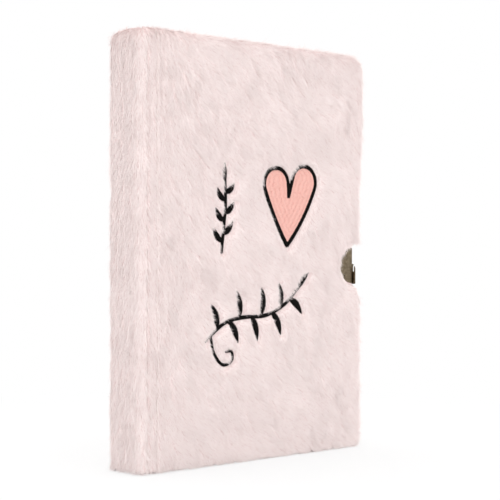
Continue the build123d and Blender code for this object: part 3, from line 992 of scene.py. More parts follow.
@dataclass
class PlushPile:
    """Long pile of the plush, grown as tapered fibres by a Geometry Nodes tree.

    Attributes:
        book: Stations of the book.
        density: Fibres on a square metre of ground.
        length: Usual length of a fibre.
        width: Half of a fibre's width at its root.
        tuft: Spacing of the tufts into which fibres gather.
        gather: How strongly they gather.
        fullness: How far the fullest tufts stand out on a cover, in usual heights of the pile.
        spine_fullness: The same on the spine and joints, where hands smooth the pile.
        clear: Bare margin round embroidery and lock.
        parting: Distance over which the pile parts round them.
        floor: Height to which the pile is pressed where the book stands.
        stray: How far a fibre strays from the pile's lie, as a share of it.
        lean: Share of its stray by which a fibre leans over.
        scatter: Share of its stray by which light on it scatters.
        aside: How far pile beside a stroke points away from it.
        short: Length of a fibre beside a stroke, as a share of its usual one.
        lengths: Shares of the usual length between which fibres vary.
        widths: Shares of the usual width between which they vary.
        tuft_short: Length in the shortest tufts, as a share.
        tuft_more: What the longest tufts have beyond that.
        stand: Usual height of a fibre, as a share of its length.
        proud: What the proudest fibres have beyond that.
        tuft_tint: How far tufts differ in tint, in steps of the tints.
        fibre_tints: Steps between which the fibres of a tuft differ.
        settled: Distance from the hinge over which the pile turns towards the fore-edge.
        wide_wave: Size of the wide waves in the pile's lie.
        fine_wave: Size of the fine ones.
        seed: Seed of all that is random.
    """

    book: BookStations
    density: float = 5.0e6
    length: float = 4.4 * MM
    width: float = 0.14 * MM
    tuft: float = 5.0 * MM
    gather: float = 0.32
    fullness: float = 1.4
    spine_fullness: float = 0.5
    clear: float = 0.25 * MM
    parting: float = 3.8 * MM
    floor: float = 0.1 * MM
    stray: float = 0.18
    lean: float = 0.35
    scatter: float = 0.5
    aside: float = 0.12
    short: float = 0.65
    lengths: tuple[float, float] = (0.75, 1.15)
    widths: tuple[float, float] = (0.75, 1.25)
    tuft_short: float = 0.82
    tuft_more: float = 0.36
    stand: float = 0.75
    proud: float = 1.6
    tuft_tint: float = 1.2
    fibre_tints: tuple[float, float] = (-0.1, 1.9)
    settled: float = 45 * MM
    wide_wave: float = 26 * MM
    fine_wave: float = 10 * MM
    seed: int = 7

    # where the tips of the fibres' shapes lie along their run, to the side in widths, and above the ground
    TIPS = ((0.98, 2.0, 0.18), (1.05, -4.0, 0.12), (0.88, 3.5, 0.25), (0.95, -1.5, 0.15))
    # inputs of the tree that are named for the fields above
    SIZES = ("Density", "Length", "Width", "Tuft", "Gather", "Clear", "Parting", "Floor")

    def __post_init__(self) -> None:
        """Makes the fibres' shapes, materials and tree once."""
        # without a seed, the noise of the pile's lie would start from the clock
        noise.seed_set(self.seed)
        self.materials = [PileFibre(f"acrylic_pile_{t.name.lower()}", t).make() for t in FibreTint]
        self.fibres = bpy.data.collections.new("pile_fibres")
        for k, tip in enumerate(self.TIPS):
            self.fibres.objects.link(self.fibre(f"fibre_{k}", tip))
        self.tree = self.make_tree()

    @staticmethod
    def fibre(name: str, tip: tuple[float, float, float]) -> Piece:
        """One fibre of unit length along X, three-sided and tapered.

        Args:
            name: Name of the shape.
            tip: Where its tip lies.

        Returns:
            An object that is in no scene.
        """
        points = [(0.0, 1.0, -0.033), (0.0, -1.0, -0.033), (0.02, 0.0, -0.022), tip]
        mesh = bpy.data.meshes.new(name)
        mesh.from_pydata(points, [], [(0, 1, 2), (1, 0, 3), (2, 1, 3), (0, 2, 3)])
        # only the two upper faces take the pile's normals
        mesh.polygons.foreach_set("use_smooth", [False, False, True, True])
        return bpy.data.objects.new(name, mesh)

    def make_tree(self) -> Tree:
        """Builds the tree that grows fibres on a ground.

        Returns:
            The Geometry Nodes tree.
        """
        tree, given = new_tree(
            "grow_pile",
            {
                "Collection": ["Fibres"],
                "Object": ["Keep Clear"],
                "Float": [*self.SIZES, "Fullness", "Low", "High"],
                "Int": ["Seed"],
            },
        )
        add, socket = partial(add_node, tree), given.outputs
        stray_seed, long_seed, wide_seed, pick_seed, tint_seed, proud_seed = (
            add("ShaderNodeMath", {0: socket["Seed"], 1: float(k)}, operation="ADD") for k in range(1, 7)
        )

        # points on the furred faces of a band; a face is chosen as a whole, so that bands meet with no gap
        place = add("GeometryNodeInputPosition").outputs[0]
        at = add("ShaderNodeSeparateXYZ", {"Vector": place}).outputs
        above = add("ShaderNodeMath", {0: at["Z"], 1: socket["Low"]}, operation="GREATER_THAN")
        below = add("ShaderNodeMath", {0: at["Z"], 1: socket["High"]}, operation="LESS_THAN")
        within = add("ShaderNodeMath", {0: above, 1: below}, operation="MULTIPLY")
        outer = add("GeometryNodeInputNamedAttribute", {"Name": "outer"}, data_type="FLOAT")
        furred = add("ShaderNodeMath", {0: outer, 1: 0.8}, operation="GREATER_THAN")
        both = add("ShaderNodeMath", {0: furred, 1: within}, operation="MULTIPLY")
        chosen = add("GeometryNodeFieldOnDomain", {"Value": both}, data_type="FLOAT", domain="FACE")
        where = {"Mesh": socket["Geometry"], "Selection": chosen}
        where |= {label: socket[label] for label in ("Density", "Seed")}
        spread = add("GeometryNodeDistributePointsOnFaces", where).outputs

        # how near the embroidery and the lock are
        kept_off = add("GeometryNodeObjectInfo", {"Object": socket["Keep Clear"]}).outputs["Geometry"]
        near = add("GeometryNodeProximity", {"Geometry": kept_off}, target_element="FACES").outputs
        bare = add("ShaderNodeMath", {0: near["Distance"], 1: socket["Clear"]}, operation="LESS_THAN")
        points = add("GeometryNodeDeleteGeometry", {"Geometry": spread["Points"], "Selection": bare})
        parts = {"Value": near["Distance"], "From Min": socket["Clear"], "From Max": socket["Parting"]}
        reach = add("ShaderNodeMapRange", parts)
        beside = add("ShaderNodeMath", {0: 1.0, 1: reach}, operation="SUBTRACT")
        apart = add("ShaderNodeVectorMath", {0: place, 1: near["Position"]}, operation="SUBTRACT")
        away = add("ShaderNodeVectorMath", {0: apart}, operation="NORMALIZE")

        # tufts, and how far their middles are, as a share of a tuft's width
        tufts = add("ShaderNodeMath", {0: 1.0, 1: socket["Tuft"]}, operation="DIVIDE")
        cells = add("ShaderNodeTexVoronoi", {"Vector": place, "Scale": tufts, "Randomness": 1.0}).outputs
        tuft = add("ShaderNodeSeparateXYZ", {"Vector": cells["Color"]}).outputs
        middle = add("ShaderNodeVectorMath", {0: cells["Position"], 1: place}, operation="SUBTRACT")
        gather = add("ShaderNodeMath", {0: socket["Gather"], 1: socket["Tuft"]}, operation="DIVIDE")
        pull = add("ShaderNodeVectorMath", {0: middle, "Scale": gather}, operation="SCALE")

        # pile beside a stroke lies along it, so that it neither crosses the stroke nor bares the ground
        limits = {"Min": (-self.stray,) * 3, "Max": (self.stray,) * 3, "Seed": stray_seed}
        stray = add("FunctionNodeRandomValue", limits, data_type="FLOAT_VECTOR")
        comb = add("GeometryNodeInputNamedAttribute", {"Name": "comb"}, data_type="FLOAT_VECTOR")
        onto = add("ShaderNodeVectorMath", {0: comb, 1: away}, operation="DOT_PRODUCT")
        across = add("ShaderNodeMath", {0: onto, 1: self.aside}, operation="SUBTRACT")
        turned = add("ShaderNodeMath", {0: across, 1: beside}, operation="MULTIPLY")
        off = add("ShaderNodeVectorMath", {0: away, "Scale": turned}, operation="SCALE")
        along = add("ShaderNodeVectorMath", {0: comb, 1: off}, operation="SUBTRACT")
        looser = add("ShaderNodeMath", {0: 1.0, 1: beside}, operation="ADD")
        loose = add("ShaderNodeVectorMath", {0: stray, "Scale": looser}, operation="SCALE")
        pulled = add("ShaderNodeVectorMath", {0: pull, "Scale": reach}, operation="SCALE")
        drawn = add("ShaderNodeVectorMath", {0: loose, 1: pulled}, operation="ADD")
        lie = add("ShaderNodeVectorMath", {0: along, 1: drawn}, operation="ADD")
        leant, lit = (
            add(
                "ShaderNodeVectorMath",
                {
                    0: spread["Normal"],
                    1: add("ShaderNodeVectorMath", {0: stray, "Scale": share}, operation="SCALE"),
                },
                operation="ADD",
            )
            for share in (self.lean, self.scatter)
        )
        turn = add(
            "FunctionNodeAxesToRotation",
            {"Primary Axis": leant, "Secondary Axis": lie},
            primary_axis="Z",
            secondary_axis="X",
        )

        # no fibre beside a stroke is long enough to lie over it
        grown = {0: reach, 1: 1 - self.short, 2: self.short}
        grown = add("ShaderNodeMath", grown, operation="MULTIPLY_ADD")
        tuft_length = {0: tuft["X"], 1: self.tuft_more, 2: self.tuft_short}
        tuft_length = add("ShaderNodeMath", tuft_length, operation="MULTIPLY_ADD")
        shared = add("ShaderNodeMath", {0: grown, 1: tuft_length}, operation="MULTIPLY")
        own_length, own_width, chance, tone = (
            add("FunctionNodeRandomValue", {"Min": low, "Max": high, "Seed": seed}, data_type="FLOAT")
            for (low, high), seed in (
                (self.lengths, long_seed),
                (self.widths, wide_seed),
                ((0.0, 1.0), proud_seed),
                (self.fibre_tints, tint_seed),
            )
        )
        usual = add("ShaderNodeMath", {0: socket["Length"], 1: own_length}, operation="MULTIPLY")
        long = add("ShaderNodeMath", {0: usual, 1: shared}, operation="MULTIPLY")
        wide = add("ShaderNodeMath", {0: socket["Width"], 1: own_width}, operation="MULTIPLY")

        # some tufts and a few fibres stand out of the pile and give it its fringe
        proud = add("ShaderNodeMath", {0: chance, 1: 4.0}, operation="POWER")
        full = add("ShaderNodeMath", {0: tuft["Z"], 1: 2.0}, operation="POWER")
        fuller = add("ShaderNodeMath", {0: full, 1: socket["Fullness"]}, operation="MULTIPLY")
        rise = add("ShaderNodeMath", {0: proud, 1: self.proud, 2: fuller}, operation="MULTIPLY_ADD")
        stand = add("ShaderNodeMath", {0: rise, 1: reach, 2: self.stand}, operation="MULTIPLY_ADD")
        high = add("ShaderNodeMath", {0: long, 1: stand}, operation="MULTIPLY")
        size = add("ShaderNodeCombineXYZ", {"X": long, "Y": wide, "Z": high})
        shapes = add(
            "GeometryNodeCollectionInfo",
            {"Collection": socket["Fibres"], "Separate Children": True, "Reset Children": True},
        )
        choice = {"Min": 0, "Max": len(self.TIPS) - 1, "Seed": pick_seed}
        pick = add("FunctionNodeRandomValue", choice, data_type="INT")
        placed = add(
            "GeometryNodeInstanceOnPoints",
            {
                "Points": points,
                "Instance": shapes,
                "Pick Instance": True,
                "Instance Index": pick,
                "Rotation": turn,
                "Scale": size,
            },
        )

        # whole tufts differ a little in tint, and fibres in a tuft too
        shade = add("ShaderNodeMath", {0: tuft["Y"], 1: self.tuft_tint, 2: tone}, operation="MULTIPLY_ADD")
        least = add("ShaderNodeMath", {0: shade, 1: 0.0}, operation="MAXIMUM")
        most = add("ShaderNodeMath", {0: least, 1: len(FibreTint) - 0.01}, operation="MINIMUM")
        tint = add("ShaderNodeMath", {0: most}, operation="FLOOR")
        marked = placed
        for label, value, kind in (("tint", tint, "INT"), ("lie", lit, "FLOAT_VECTOR")):
            mark = {"Geometry": marked, "Name": label, "Value": value}
            marked = add("GeometryNodeStoreNamedAttribute", mark, data_type=kind, domain="INSTANCE")
        real = add("GeometryNodeRealizeInstances", {"Geometry": marked})

        # fibres let light through, so each is lit like the pile round it and not like a solid rod
        around = add("GeometryNodeInputNamedAttribute", {"Name": "lie"}, data_type="FLOAT_VECTOR")
        facing = add("ShaderNodeVectorMath", {0: around}, operation="NORMALIZE")
        facings = {"Mesh": real, "Custom Normal": facing}
        soft = add("GeometryNodeSetMeshNormal", facings, mode="FREE", domain="POINT")
        stopped = add("ShaderNodeMath", {0: at["Z"], 1: socket["Floor"]}, operation="MAXIMUM")
        pressed = add("ShaderNodeCombineXYZ", {"X": at["X"], "Y": at["Y"], "Z": stopped})
        done = add("GeometryNodeSetPosition", {"Geometry": soft, "Position": pressed})
        kept = add("GeometryNodeInputNamedAttribute", {"Name": "tint"}, data_type="INT")
        for k, material in enumerate(self.materials):
            same = add("FunctionNodeCompare", {"A": kept, "B": k}, data_type="INT", operation="EQUAL")
            done = add(
                "GeometryNodeSetMaterial", {"Geometry": done, "Selection": same, "Material": material}
            )
        add("NodeGroupOutput", {0: done})
        return tree

    def comb(self, place: Vector) -> Vector:
        """Way in which the pile lies: down and to the fore-edge, straight down by the spine, and uneven.

        Args:
            place: A place on the ground.

        Returns:
            The way in which fibres lie there.
        """
        aside = float(smooth(place.x, self.book.x_hinge, self.book.x_hinge + self.settled))
        wide = noise.noise_vector(place / self.wide_wave)
        fine = noise.noise_vector(place / self.fine_wave + Vector((9.0, 3.0, 5.0)))
        stray = 0.45 + 0.55 * aside
        return Vector((0.1 + 0.55 * aside, 0.0, -0.85)) + stray * (0.5 * wide + 0.35 * fine)

    def on(
        self, ground: Piece, name: str, keep_clear: Piece, low: float, high: float, fullness: float
    ) -> Piece:
        """Grows the pile on a ground between two heights.

        Args:
            ground: Ground of the plush.
            name: Name of the piece.
            keep_clear: Mesh that the pile parts round.
            low: Lowest height.
            high: Highest height.
            fullness: How far the fullest tufts stand out.

        Returns:
            The pile as a plain mesh piece.
        """
        values = {label: getattr(self, label.lower()) for label in (*self.SIZES, "Fibres", "Seed")}
        values |= {"Keep Clear": keep_clear, "Fullness": fullness, "Low": low, "High": high}
        piece = grow(new_object(f"{name}_source", ground.data.copy()), self.tree, values, name)
        for spare in ("tint", "outer", "comb", "lie"):
            if spare in piece.data.attributes:
                piece.data.attributes.remove(piece.data.attributes[spare])
        return piece


# Embroidery


@dataclass(frozen=True)
class Stroke:
    """One embroidered stroke on the front cover.

    Attributes:
        path: Points of its middle line, X and Z in metres.
        half: Half of its width at each point, in metres.
    """

    path: np.ndarray
    half: np.ndarray

    def to_edge(self) -> np.ndarray:
        """Steps from the points of the middle line to the stroke's left edge."""
        way = np.gradient(self.path, axis=0)
        way /= np.linalg.norm(way, axis=1)[:, None]
        return np.column_stack([-way[:, 1], way[:, 0]]) * self.half[:, None]


def arc_between(start: np.ndarray, way: np.ndarray, end: np.ndarray, count: int) -> np.ndarray:
    """Arc that leaves a point along a given way and ends at another.

    Args:
        start: First point.
        way: Unit vector along which it starts.
        end: Last point.
        count: Number of points.

    Returns:
        The points of the arc.
    """
    chord = end - start
    side = np.array([-way[1], way[0]])
    centre = start + chord @ chord / (2 * (chord @ side)) * side
    x, z = start - centre
    turn = 2 * math.atan2(way[0] * chord[1] - way[1] * chord[0], way @ chord)
    steps = np.linspace(0, turn, count)
    cos, sin = np.cos(steps), np.sin(steps)
    return centre + np.column_stack([x * cos - z * sin, x * sin + z * cos])


def spline(points: Sequence[Sequence[float]], step: float) -> np.ndarray:
    """Smooth line through points, at even steps.

    Args:
        points: Points that it passes.
        step: Spacing of the result.

    Returns:
        Points of the line.
    """
    p = np.array(points, float)
    p = np.concatenate([[2 * p[0] - p[1]], p, [2 * p[-1] - p[-2]]])
    dense = []
    for k in range(1, len(p) - 2):
        a, b, c, d = p[k - 1 : k + 3]
        for t in np.linspace(0, 1, 24, endpoint=False):
            bend = (2 * a - 5 * b + 4 * c - d) * t**2 + (3 * b - a - 3 * c + d) * t**3
            dense.append(0.5 * (2 * b + (c - a) * t + bend))
    dense.append(p[-2])
    line = np.array(dense)
    run = np.concatenate([[0], np.cumsum(np.linalg.norm(np.diff(line, axis=0), axis=1))])
    at = np.linspace(0, run[-1], max(3, round(run[-1] / step)))
    return np.column_stack([np.interp(at, run, line[:, 0]), np.interp(at, run, line[:, 1])])


@dataclass(frozen=True)
class Heart:
    """The embroidered heart, drawn along the middle of its outline, X and Z in millimetres.

    Attributes:
        tip: Its lower tip, from which the other points count.
        left_angle: Way in which the left half leaves the tip, in degrees.
        left_side: Where its flank passes into its lobe.
        left_lobe: Where its lobe ends.
        right_angle: Way in which the right half leaves the tip, in degrees.
        right_side: Where its flank passes into its lobe.
        right_lobe: Where its lobe ends.
        notch: Where both halves meet again.
        stroke: Width of the outline.
        finer: Share of that width which it loses towards the notch.
    """

    tip: tuple[float, float] = (20.0, 106.3)
    left_angle: float = 125.0
    left_side: tuple[float, float] = (-15.0, 27.6)
    left_lobe: tuple[float, float] = (0.7, 31.0)
    right_angle: float = 46.0
    right_side: tuple[float, float] = (19.5, 28.9)
    right_lobe: tuple[float, float] = (4.7, 35.8)
    notch: tuple[float, float] = (1.1, 24.3)
    stroke: float = 2.5
    finer: float = 0.15

    def half(self, angle: float, side: Sequence[float], lobe: Sequence[float]) -> np.ndarray:
        """Points of one half, from the tip round its lobe to the notch.

        Args:
            angle: Way in which it leaves the tip, in degrees.
            side: Where its flank passes into its lobe.
            lobe: Where its lobe ends.

        Returns:
            The points in metres.
        """
        tip = np.array(self.tip)
        flank = arc_between(tip, heading(angle), tip + np.array(side), 40)
        onward = flank[-1] - flank[-2]
        top = arc_between(flank[-1], onward / np.linalg.norm(onward), tip + np.array(lobe), 50)
        inside = np.linspace(top[-1], tip + np.array(self.notch), 10)
        return np.concatenate([flank, top[1:], inside[1:]]) * MM

    def halves(self) -> list[np.ndarray]:
        """Both halves of the outline."""
        return [
            self.half(self.left_angle, self.left_side, self.left_lobe),
            self.half(self.right_angle, self.right_side, self.right_lobe),
        ]

    def outline(self) -> list[Stroke]:
        """The outline as two strokes."""
        widths = [(path, 1 - self.finer * np.linspace(0, 1, len(path))) for path in self.halves()]
        return [Stroke(path, self.stroke / 2 * MM * share) for path, share in widths]

    def polygon(self) -> np.ndarray:
        """The closed outline, once round."""
        left, right = self.halves()
        return np.concatenate([left, right[::-1][1:-1]])


@dataclass
class Embroidery:
    """Stitched decoration of the front cover: the heart and leafy sprigs in black thread.

    Attributes:
        book: Stations of the book.
        heart: The heart's shape.
        pitch: Spacing of satin stitches along a stroke.
        thread: Width of a satin stitch.
        lift: Height of a satin stitch.
        slant: Angle by which satin stitches slant, in radians.
        waver: Angle by which any stitch may waver, in radians.
        uneven: Shares of their length between which stitches vary.
        border_rise: Height of the pad under the heart's outline.
        sprig_rise: The same under a sprig.
        pad_share: Width of a pad at its foot, as a share of its stroke.
        pad_top: Its width at the top, as a share of that.
        fill_rise: Height of the pad under the heart's filling.
        row: Spacing of the heart's rows of stitches.
        row_thread: Width of a stitch in a row, in rows.
        row_lift: Height of such a stitch.
        run: Length of such a stitch.
        run_pitch: Spacing of the stitches in a row, in lengths of a stitch.
        tuck: How far the ends of a row reach under the heart's outline.
        seed: Seed of what is random.
    """

    book: BookStations
    heart: Heart
    pitch: float = 0.36 * MM
    thread: float = 0.5 * MM
    lift: float = 0.5 * MM
    slant: float = 0.22
    waver: float = 0.12
    uneven: tuple[float, float] = (0.92, 1.1)
    border_rise: float = 0.75 * MM
    sprig_rise: float = 0.6 * MM
    pad_share: float = 0.85
    pad_top: float = 0.7
    fill_rise: float = 0.35 * MM
    row: float = 0.62 * MM
    row_thread: float = 1.15
    row_lift: float = 0.2 * MM
    run: float = 3.2 * MM
    run_pitch: float = 0.86
    tuck: float = 0.45 * MM
    seed: int = 3

    def __post_init__(self) -> None:
        """Makes the threads' materials, the stitch, the tree and the map of distances once."""
        black = {"light": "#131110", "dark": "#070606", "roughness": 0.6, "gloss": 0.05, "sheen": 0.0}
        self.black = StitchThread("black_rayon_stitches", **black).make()
        self.coral = StitchThread("coral_rayon_stitches").make()
        self.stitch = self.make_stitch()
        self.tree = self.make_tree()
        samples = [(x, z, half) for s in self.strokes() for (x, z), half in zip(s.path, s.half)]
        self.reaches = [half for _, _, half in samples]
        self.polygon = self.heart.polygon()
        self.nearest = kdtree.KDTree(len(samples))
        for k, (x, z, _) in enumerate(samples):
            self.nearest.insert((x, z, 0.0), k)
        self.nearest.balance()

    @staticmethod
    def make_stitch() -> Piece:
        """One laid stitch of unit length along X: crowned, round and dipping at both ends.

        Returns:
            An object that is in no scene.
        """
        rings, sides = 6, 6
        points, faces = [], []
        for i in range(rings + 1):
            t = i / rings
            swell = 1 - (2 * t - 1) ** 2
            fat, crown = 0.5 * max(swell, 0.0) ** 0.25 + 0.08, 0.55 * swell
            for k in range(sides):
                turn = 2 * math.pi * k / sides
                points.append((t - 0.5, fat * math.cos(turn), crown + fat * math.sin(turn)))
        for i in range(rings):
            for k in range(sides):
                a, b = i * sides + k, i * sides + (k + 1) % sides
                faces.append((a, a + sides, b + sides, b))
        faces.append(tuple(range(sides)))
        faces.append(tuple(rings * sides + k for k in reversed(range(sides))))
        mesh = bpy.data.meshes.new("stitch")
        mesh.from_pydata(points, [], faces)
        mesh.polygons.foreach_set("use_smooth", [True] * len(mesh.polygons))
        stitch = bpy.data.objects.new("stitch", mesh)
        face_outwards(stitch)
        return stitch

    def make_tree(self) -> Tree:
        """Builds the tree that lays stitches across or along curves.

        Returns:
            The Geometry Nodes tree. "Across" is 1 for satin stitches as long as the curve is wide, and 0 for
            stitches of the length "Run" along the curve.
        """
        tree, given = new_tree(
            "lay_stitches",
            {
                "Object": ["Stitch"],
                "Float": ["Pitch", "Across", "Run", "Thread", "Lift", "Slant"],
                "Int": ["Seed"],
                "Material": ["Material"],
            },
        )
        add, socket = partial(add_node, tree), given.outputs
        lines = {"Curve": socket["Geometry"], "Length": socket["Pitch"]}
        even = add("GeometryNodeResampleCurve", lines, mode="LENGTH")
        spots = add("GeometryNodeCurveToPoints", {"Curve": even}, mode="EVALUATED").outputs
        front = (0.0, -1.0, 0.0)
        along = spots["Tangent"]
        cross = add("ShaderNodeVectorMath", {0: along, 1: front}, operation="CROSS_PRODUCT")
        ways = {"Factor": socket["Across"], "A": along, "B": cross}
        straight = add("ShaderNodeMix", ways, data_type="VECTOR")
        limits = {"Min": -self.waver, "Max": self.waver, "Seed": socket["Seed"]}
        waver = add("FunctionNodeRandomValue", limits, data_type="FLOAT")
        angle = add("ShaderNodeMath", {0: waver, 1: socket["Slant"]}, operation="ADD")
        turned = {"Vector": straight, "Axis": front, "Angle": angle}
        laid = add("ShaderNodeVectorRotate", turned, rotation_type="AXIS_ANGLE")
        axes = {"Primary Axis": front, "Secondary Axis": laid}
        turn = add("FunctionNodeAxesToRotation", axes, primary_axis="Z", secondary_axis="X")
        radius = add("GeometryNodeInputRadius")
        width = add("ShaderNodeMath", {0: radius, 1: 2.0}, operation="MULTIPLY")
        lengths = {"Factor": socket["Across"], "A": socket["Run"], "B": width}
        usual = add("ShaderNodeMix", lengths, data_type="FLOAT")
        seed = add("ShaderNodeMath", {0: socket["Seed"], 1: 1.0}, operation="ADD")
        limits = {"Min": self.uneven[0], "Max": self.uneven[1], "Seed": seed}
        uneven = add("FunctionNodeRandomValue", limits, data_type="FLOAT")
        long = add("ShaderNodeMath", {0: usual, 1: uneven}, operation="MULTIPLY")
        size = add("ShaderNodeCombineXYZ", {"X": long, "Y": socket["Thread"], "Z": socket["Lift"]})
        shape = add("GeometryNodeObjectInfo", {"Object": socket["Stitch"]}).outputs["Geometry"]
        stitches = {"Points": spots["Points"], "Instance": shape, "Rotation": turn, "Scale": size}
        placed = add("GeometryNodeInstanceOnPoints", stitches)
        real = add("GeometryNodeRealizeInstances", {"Geometry": placed})
        done = add("GeometryNodeSetMaterial", {"Geometry": real, "Material": socket["Material"]})
        add("NodeGroupOutput", {0: done})
        return tree

    def lay(
        self, name: str, strokes: Sequence[Stroke], y: float, material: Material, **sizes: float
    ) -> Piece:
        """Lays stitches along or across strokes.

        Args:
            name: Name of the piece.
            strokes: Strokes that carry the stitches.
            y: Height over the middle of the book on which they lie.
            material: Thread.
            **sizes: Values of the tree's other inputs.

        Returns:
            The stitches as a plain mesh piece.
        """
        data = bpy.data.curves.new(f"{name}_lines", "CURVE")
        data.dimensions = "3D"
        for stroke in strokes:
            line = data.splines.new("POLY")
            line.points.add(len(stroke.path) - 1)
            for point, (x, z), half in zip(line.points, stroke.path, stroke.half):
                point.co = (x, -y, z, 1.0)
                point.radius = half
        values = {"Stitch": self.stitch, "Run": self.run, "Material": material, **sizes}
        return grow(new_object(data.name, data), self.tree, values, name)

    def satin(self, name: str, strokes: Sequence[Stroke], rise: float) -> Piece:
        """Satin-stitched strokes in black: closed ribbons as a pad, with stitches laid across it.

        Args:
            name: Name of the piece.
            strokes: Strokes to stitch.
            rise: Height of the pad.

        Returns:
            The piece.
        """
        low = self.book.stitch_y
        high = low + rise
        corners = ((-1, low), (1, low), (self.pad_top, high), (-self.pad_top, high))
        points, faces = [], []
        for stroke in strokes:
            start, last = len(points), 4 * (len(stroke.path) - 1)
            for at, off in zip(stroke.path, stroke.to_edge() * self.pad_share):
                points += [(at[0] + sign * off[0], -y, at[1] + sign * off[1]) for sign, y in corners]
            for i in range(start, start + last, 4):
                for k in range(4):
                    a, b = i + k, i + (k + 1) % 4
                    faces.append((a, b, b + 4, a + 4))
            faces.append(tuple(start + k for k in (3, 2, 1, 0)))
            faces.append(tuple(start + last + k for k in range(4)))
        pad = mesh_object(f"{name}_pad", points, faces, shaded_smooth=False)
        face_outwards(pad)
        pad.data.materials.append(self.black)
        sizes = {"Pitch": self.pitch, "Across": 1.0, "Thread": self.thread, "Lift": self.lift}
        sizes |= {"Slant": self.slant, "Seed": self.seed}
        return joined(self.lay(name, strokes, low + rise * self.pad_top, self.black, **sizes), pad)

    def heart_fill(self) -> Piece:
        """Heart filled with level rows of coral stitches over a pad.

        Returns:
            The piece.
        """
        shape, low = self.polygon, self.book.stitch_y
        high, count = low + self.fill_rise, len(shape)
        points = [(x, -y, z) for y in (low, high) for x, z in shape]
        faces = [tuple(range(count)), tuple(range(2 * count - 1, count - 1, -1))]
        faces += [(k, (k + 1) % count, (k + 1) % count + count, k + count) for k in range(count)]
        pad = mesh_object("heart_pad", points, faces, shaded_smooth=False)
        face_outwards(pad)
        pad.data.materials.append(self.coral)
        rows = []
        # stitches stand half their length past the points that carry them
        hem = self.run / 2 - self.tuck
        edges = list(zip(shape, np.roll(shape, -1, axis=0)))
        for k, z in enumerate(np.arange(shape[:, 1].min() + self.row, shape[:, 1].max(), self.row)):
            crossings = sorted(
                a[0] + (b[0] - a[0]) * (z - a[1]) / (b[1] - a[1])
                for a, b in edges
                if (a[1] - z) * (b[1] - z) < 0
            )
            # rows are staggered by the golden ratio, so that no two neighbours line up
            shift = 0.5 * self.run * ((k * 0.618) % 1.0 - 0.5)
            for left, right in zip(crossings[::2], crossings[1::2]):
                ends = np.clip((left + hem + shift, right - hem + shift), left + hem, max(left, right - hem))
                if ends[1] - ends[0] > self.thread:
                    rows.append(Stroke(np.array([[ends[0], z], [ends[1], z]]), np.full(2, self.thread)))
        sizes = {"Pitch": self.run * self.run_pitch, "Across": 0.0, "Thread": self.row * self.row_thread}
        sizes |= {"Lift": self.row_lift, "Slant": 0.0, "Seed": self.seed + 5}
        return joined(self.lay("heart_satin", rows, high, self.coral, **sizes), pad)

    @staticmethod
    def leaf(foot: Sequence[float], angle: float, length: float, width: float, bow: float) -> Stroke:
        """A leaf along a slightly bowed rib.

        Args:
            foot: Where it leaves its stem, in millimetres.
            angle: Way in which it points, in degrees.
            length: Length in millimetres.
            width: Greatest width in millimetres.
            bow: Sideways bow of its rib, in millimetres.

        Returns:
            The stroke.
        """
        way = heading(angle)
        side = np.array([-way[1], way[0]])
        share = np.linspace(0, 1, 24)
        path = np.array(foot) + share[:, None] * length * way + (bow * np.sin(math.pi * share))[:, None] * side
        half = width / 2 * np.sin(math.pi * share**0.8) ** 0.8 + 0.22
        return Stroke(path * MM, half * MM)

    @staticmethod
    def stem(points: Sequence[Sequence[float]], width: float, fine: float) -> Stroke:
        """A stem that thins towards its ends.

        Args:
            points: Points that it passes, in millimetres.
            width: Width at its thickest, in millimetres.
            fine: Width at its ends.

        Returns:
            The stroke.
        """
        path = spline(points, 0.6)
        share = np.linspace(0, 1, len(path))
        half = (fine + (width - fine) * np.sin(math.pi * share) ** 0.6) / 2
        return Stroke(path * MM, half * MM)

    def tall_sprig(self) -> list[Stroke]:
        """Slender upright sprig beside the heart.

        Returns:
            Its strokes.
        """
        line = [(-24.0, 102.5), (-22.6, 114.0), (-21.4, 126.0), (-21.6, 138.0)]
        strokes = [self.stem(line, 1.9, 1.4)]
        for z, size in ((108.0, 8.6), (118.0, 8.2), (128.0, 7.4)):
            x = float(np.interp(z, [p[1] for p in line], [p[0] for p in line]))
            strokes.append(self.leaf((x - 0.4, z), 130.0, size, 2.9, 0.8))
            strokes.append(self.leaf((x + 0.4, z + 3.5), 46.0, size, 2.9, -0.8))
        strokes.append(self.leaf((-21.6, 137.4), 92.0, 8.6, 3.0, 0.4))
        return strokes

    def wide_sprig(self) -> list[Stroke]:
        """Sweeping branch with leaves and a curled tendril under the heart.

        Returns:
            Its strokes.
        """
        branch = [(-34.5, 60.0), (-22.0, 68.5), (-9.0, 71.0), (5.0, 71.5), (18.0, 76.5), (29.0, 85.5)]
        tendril = [(-31.0, 62.6), (-29.0, 54.5), (-23.5, 48.5), (-17.5, 50.0), (-17.5, 54.5), (-21.5, 54.6)]
        leaves = (
            (-26.5, 66.3, 112.0, 12.5, 3.6, -1.2),
            (-19.5, 69.3, -60.0, 12.0, 3.6, 1.2),
            (-12.5, 70.6, 98.0, 13.5, 3.6, -1.3),
            (-4.5, 71.2, -72.0, 12.5, 3.6, 1.2),
            (2.0, 71.4, 88.0, 14.0, 3.6, -1.3),
            (9.5, 72.8, -62.0, 12.5, 3.6, 1.3),
            (15.0, 75.0, 94.0, 12.5, 3.6, -1.2),
            (22.0, 79.2, -42.0, 11.0, 3.6, 1.1),
            (28.6, 85.2, 48.0, 9.5, 3.4, 0.6),
        )
        strokes = [self.stem(branch, 2.1, 1.4)]
        strokes += [self.leaf((x, z), *sizes) for x, z, *sizes in leaves]
        return strokes + [self.stem(tendril, 1.7, 1.2)]

    def strokes(self) -> list[Stroke]:
        """All strokes of black thread."""
        return self.heart.outline() + self.tall_sprig() + self.wide_sprig()

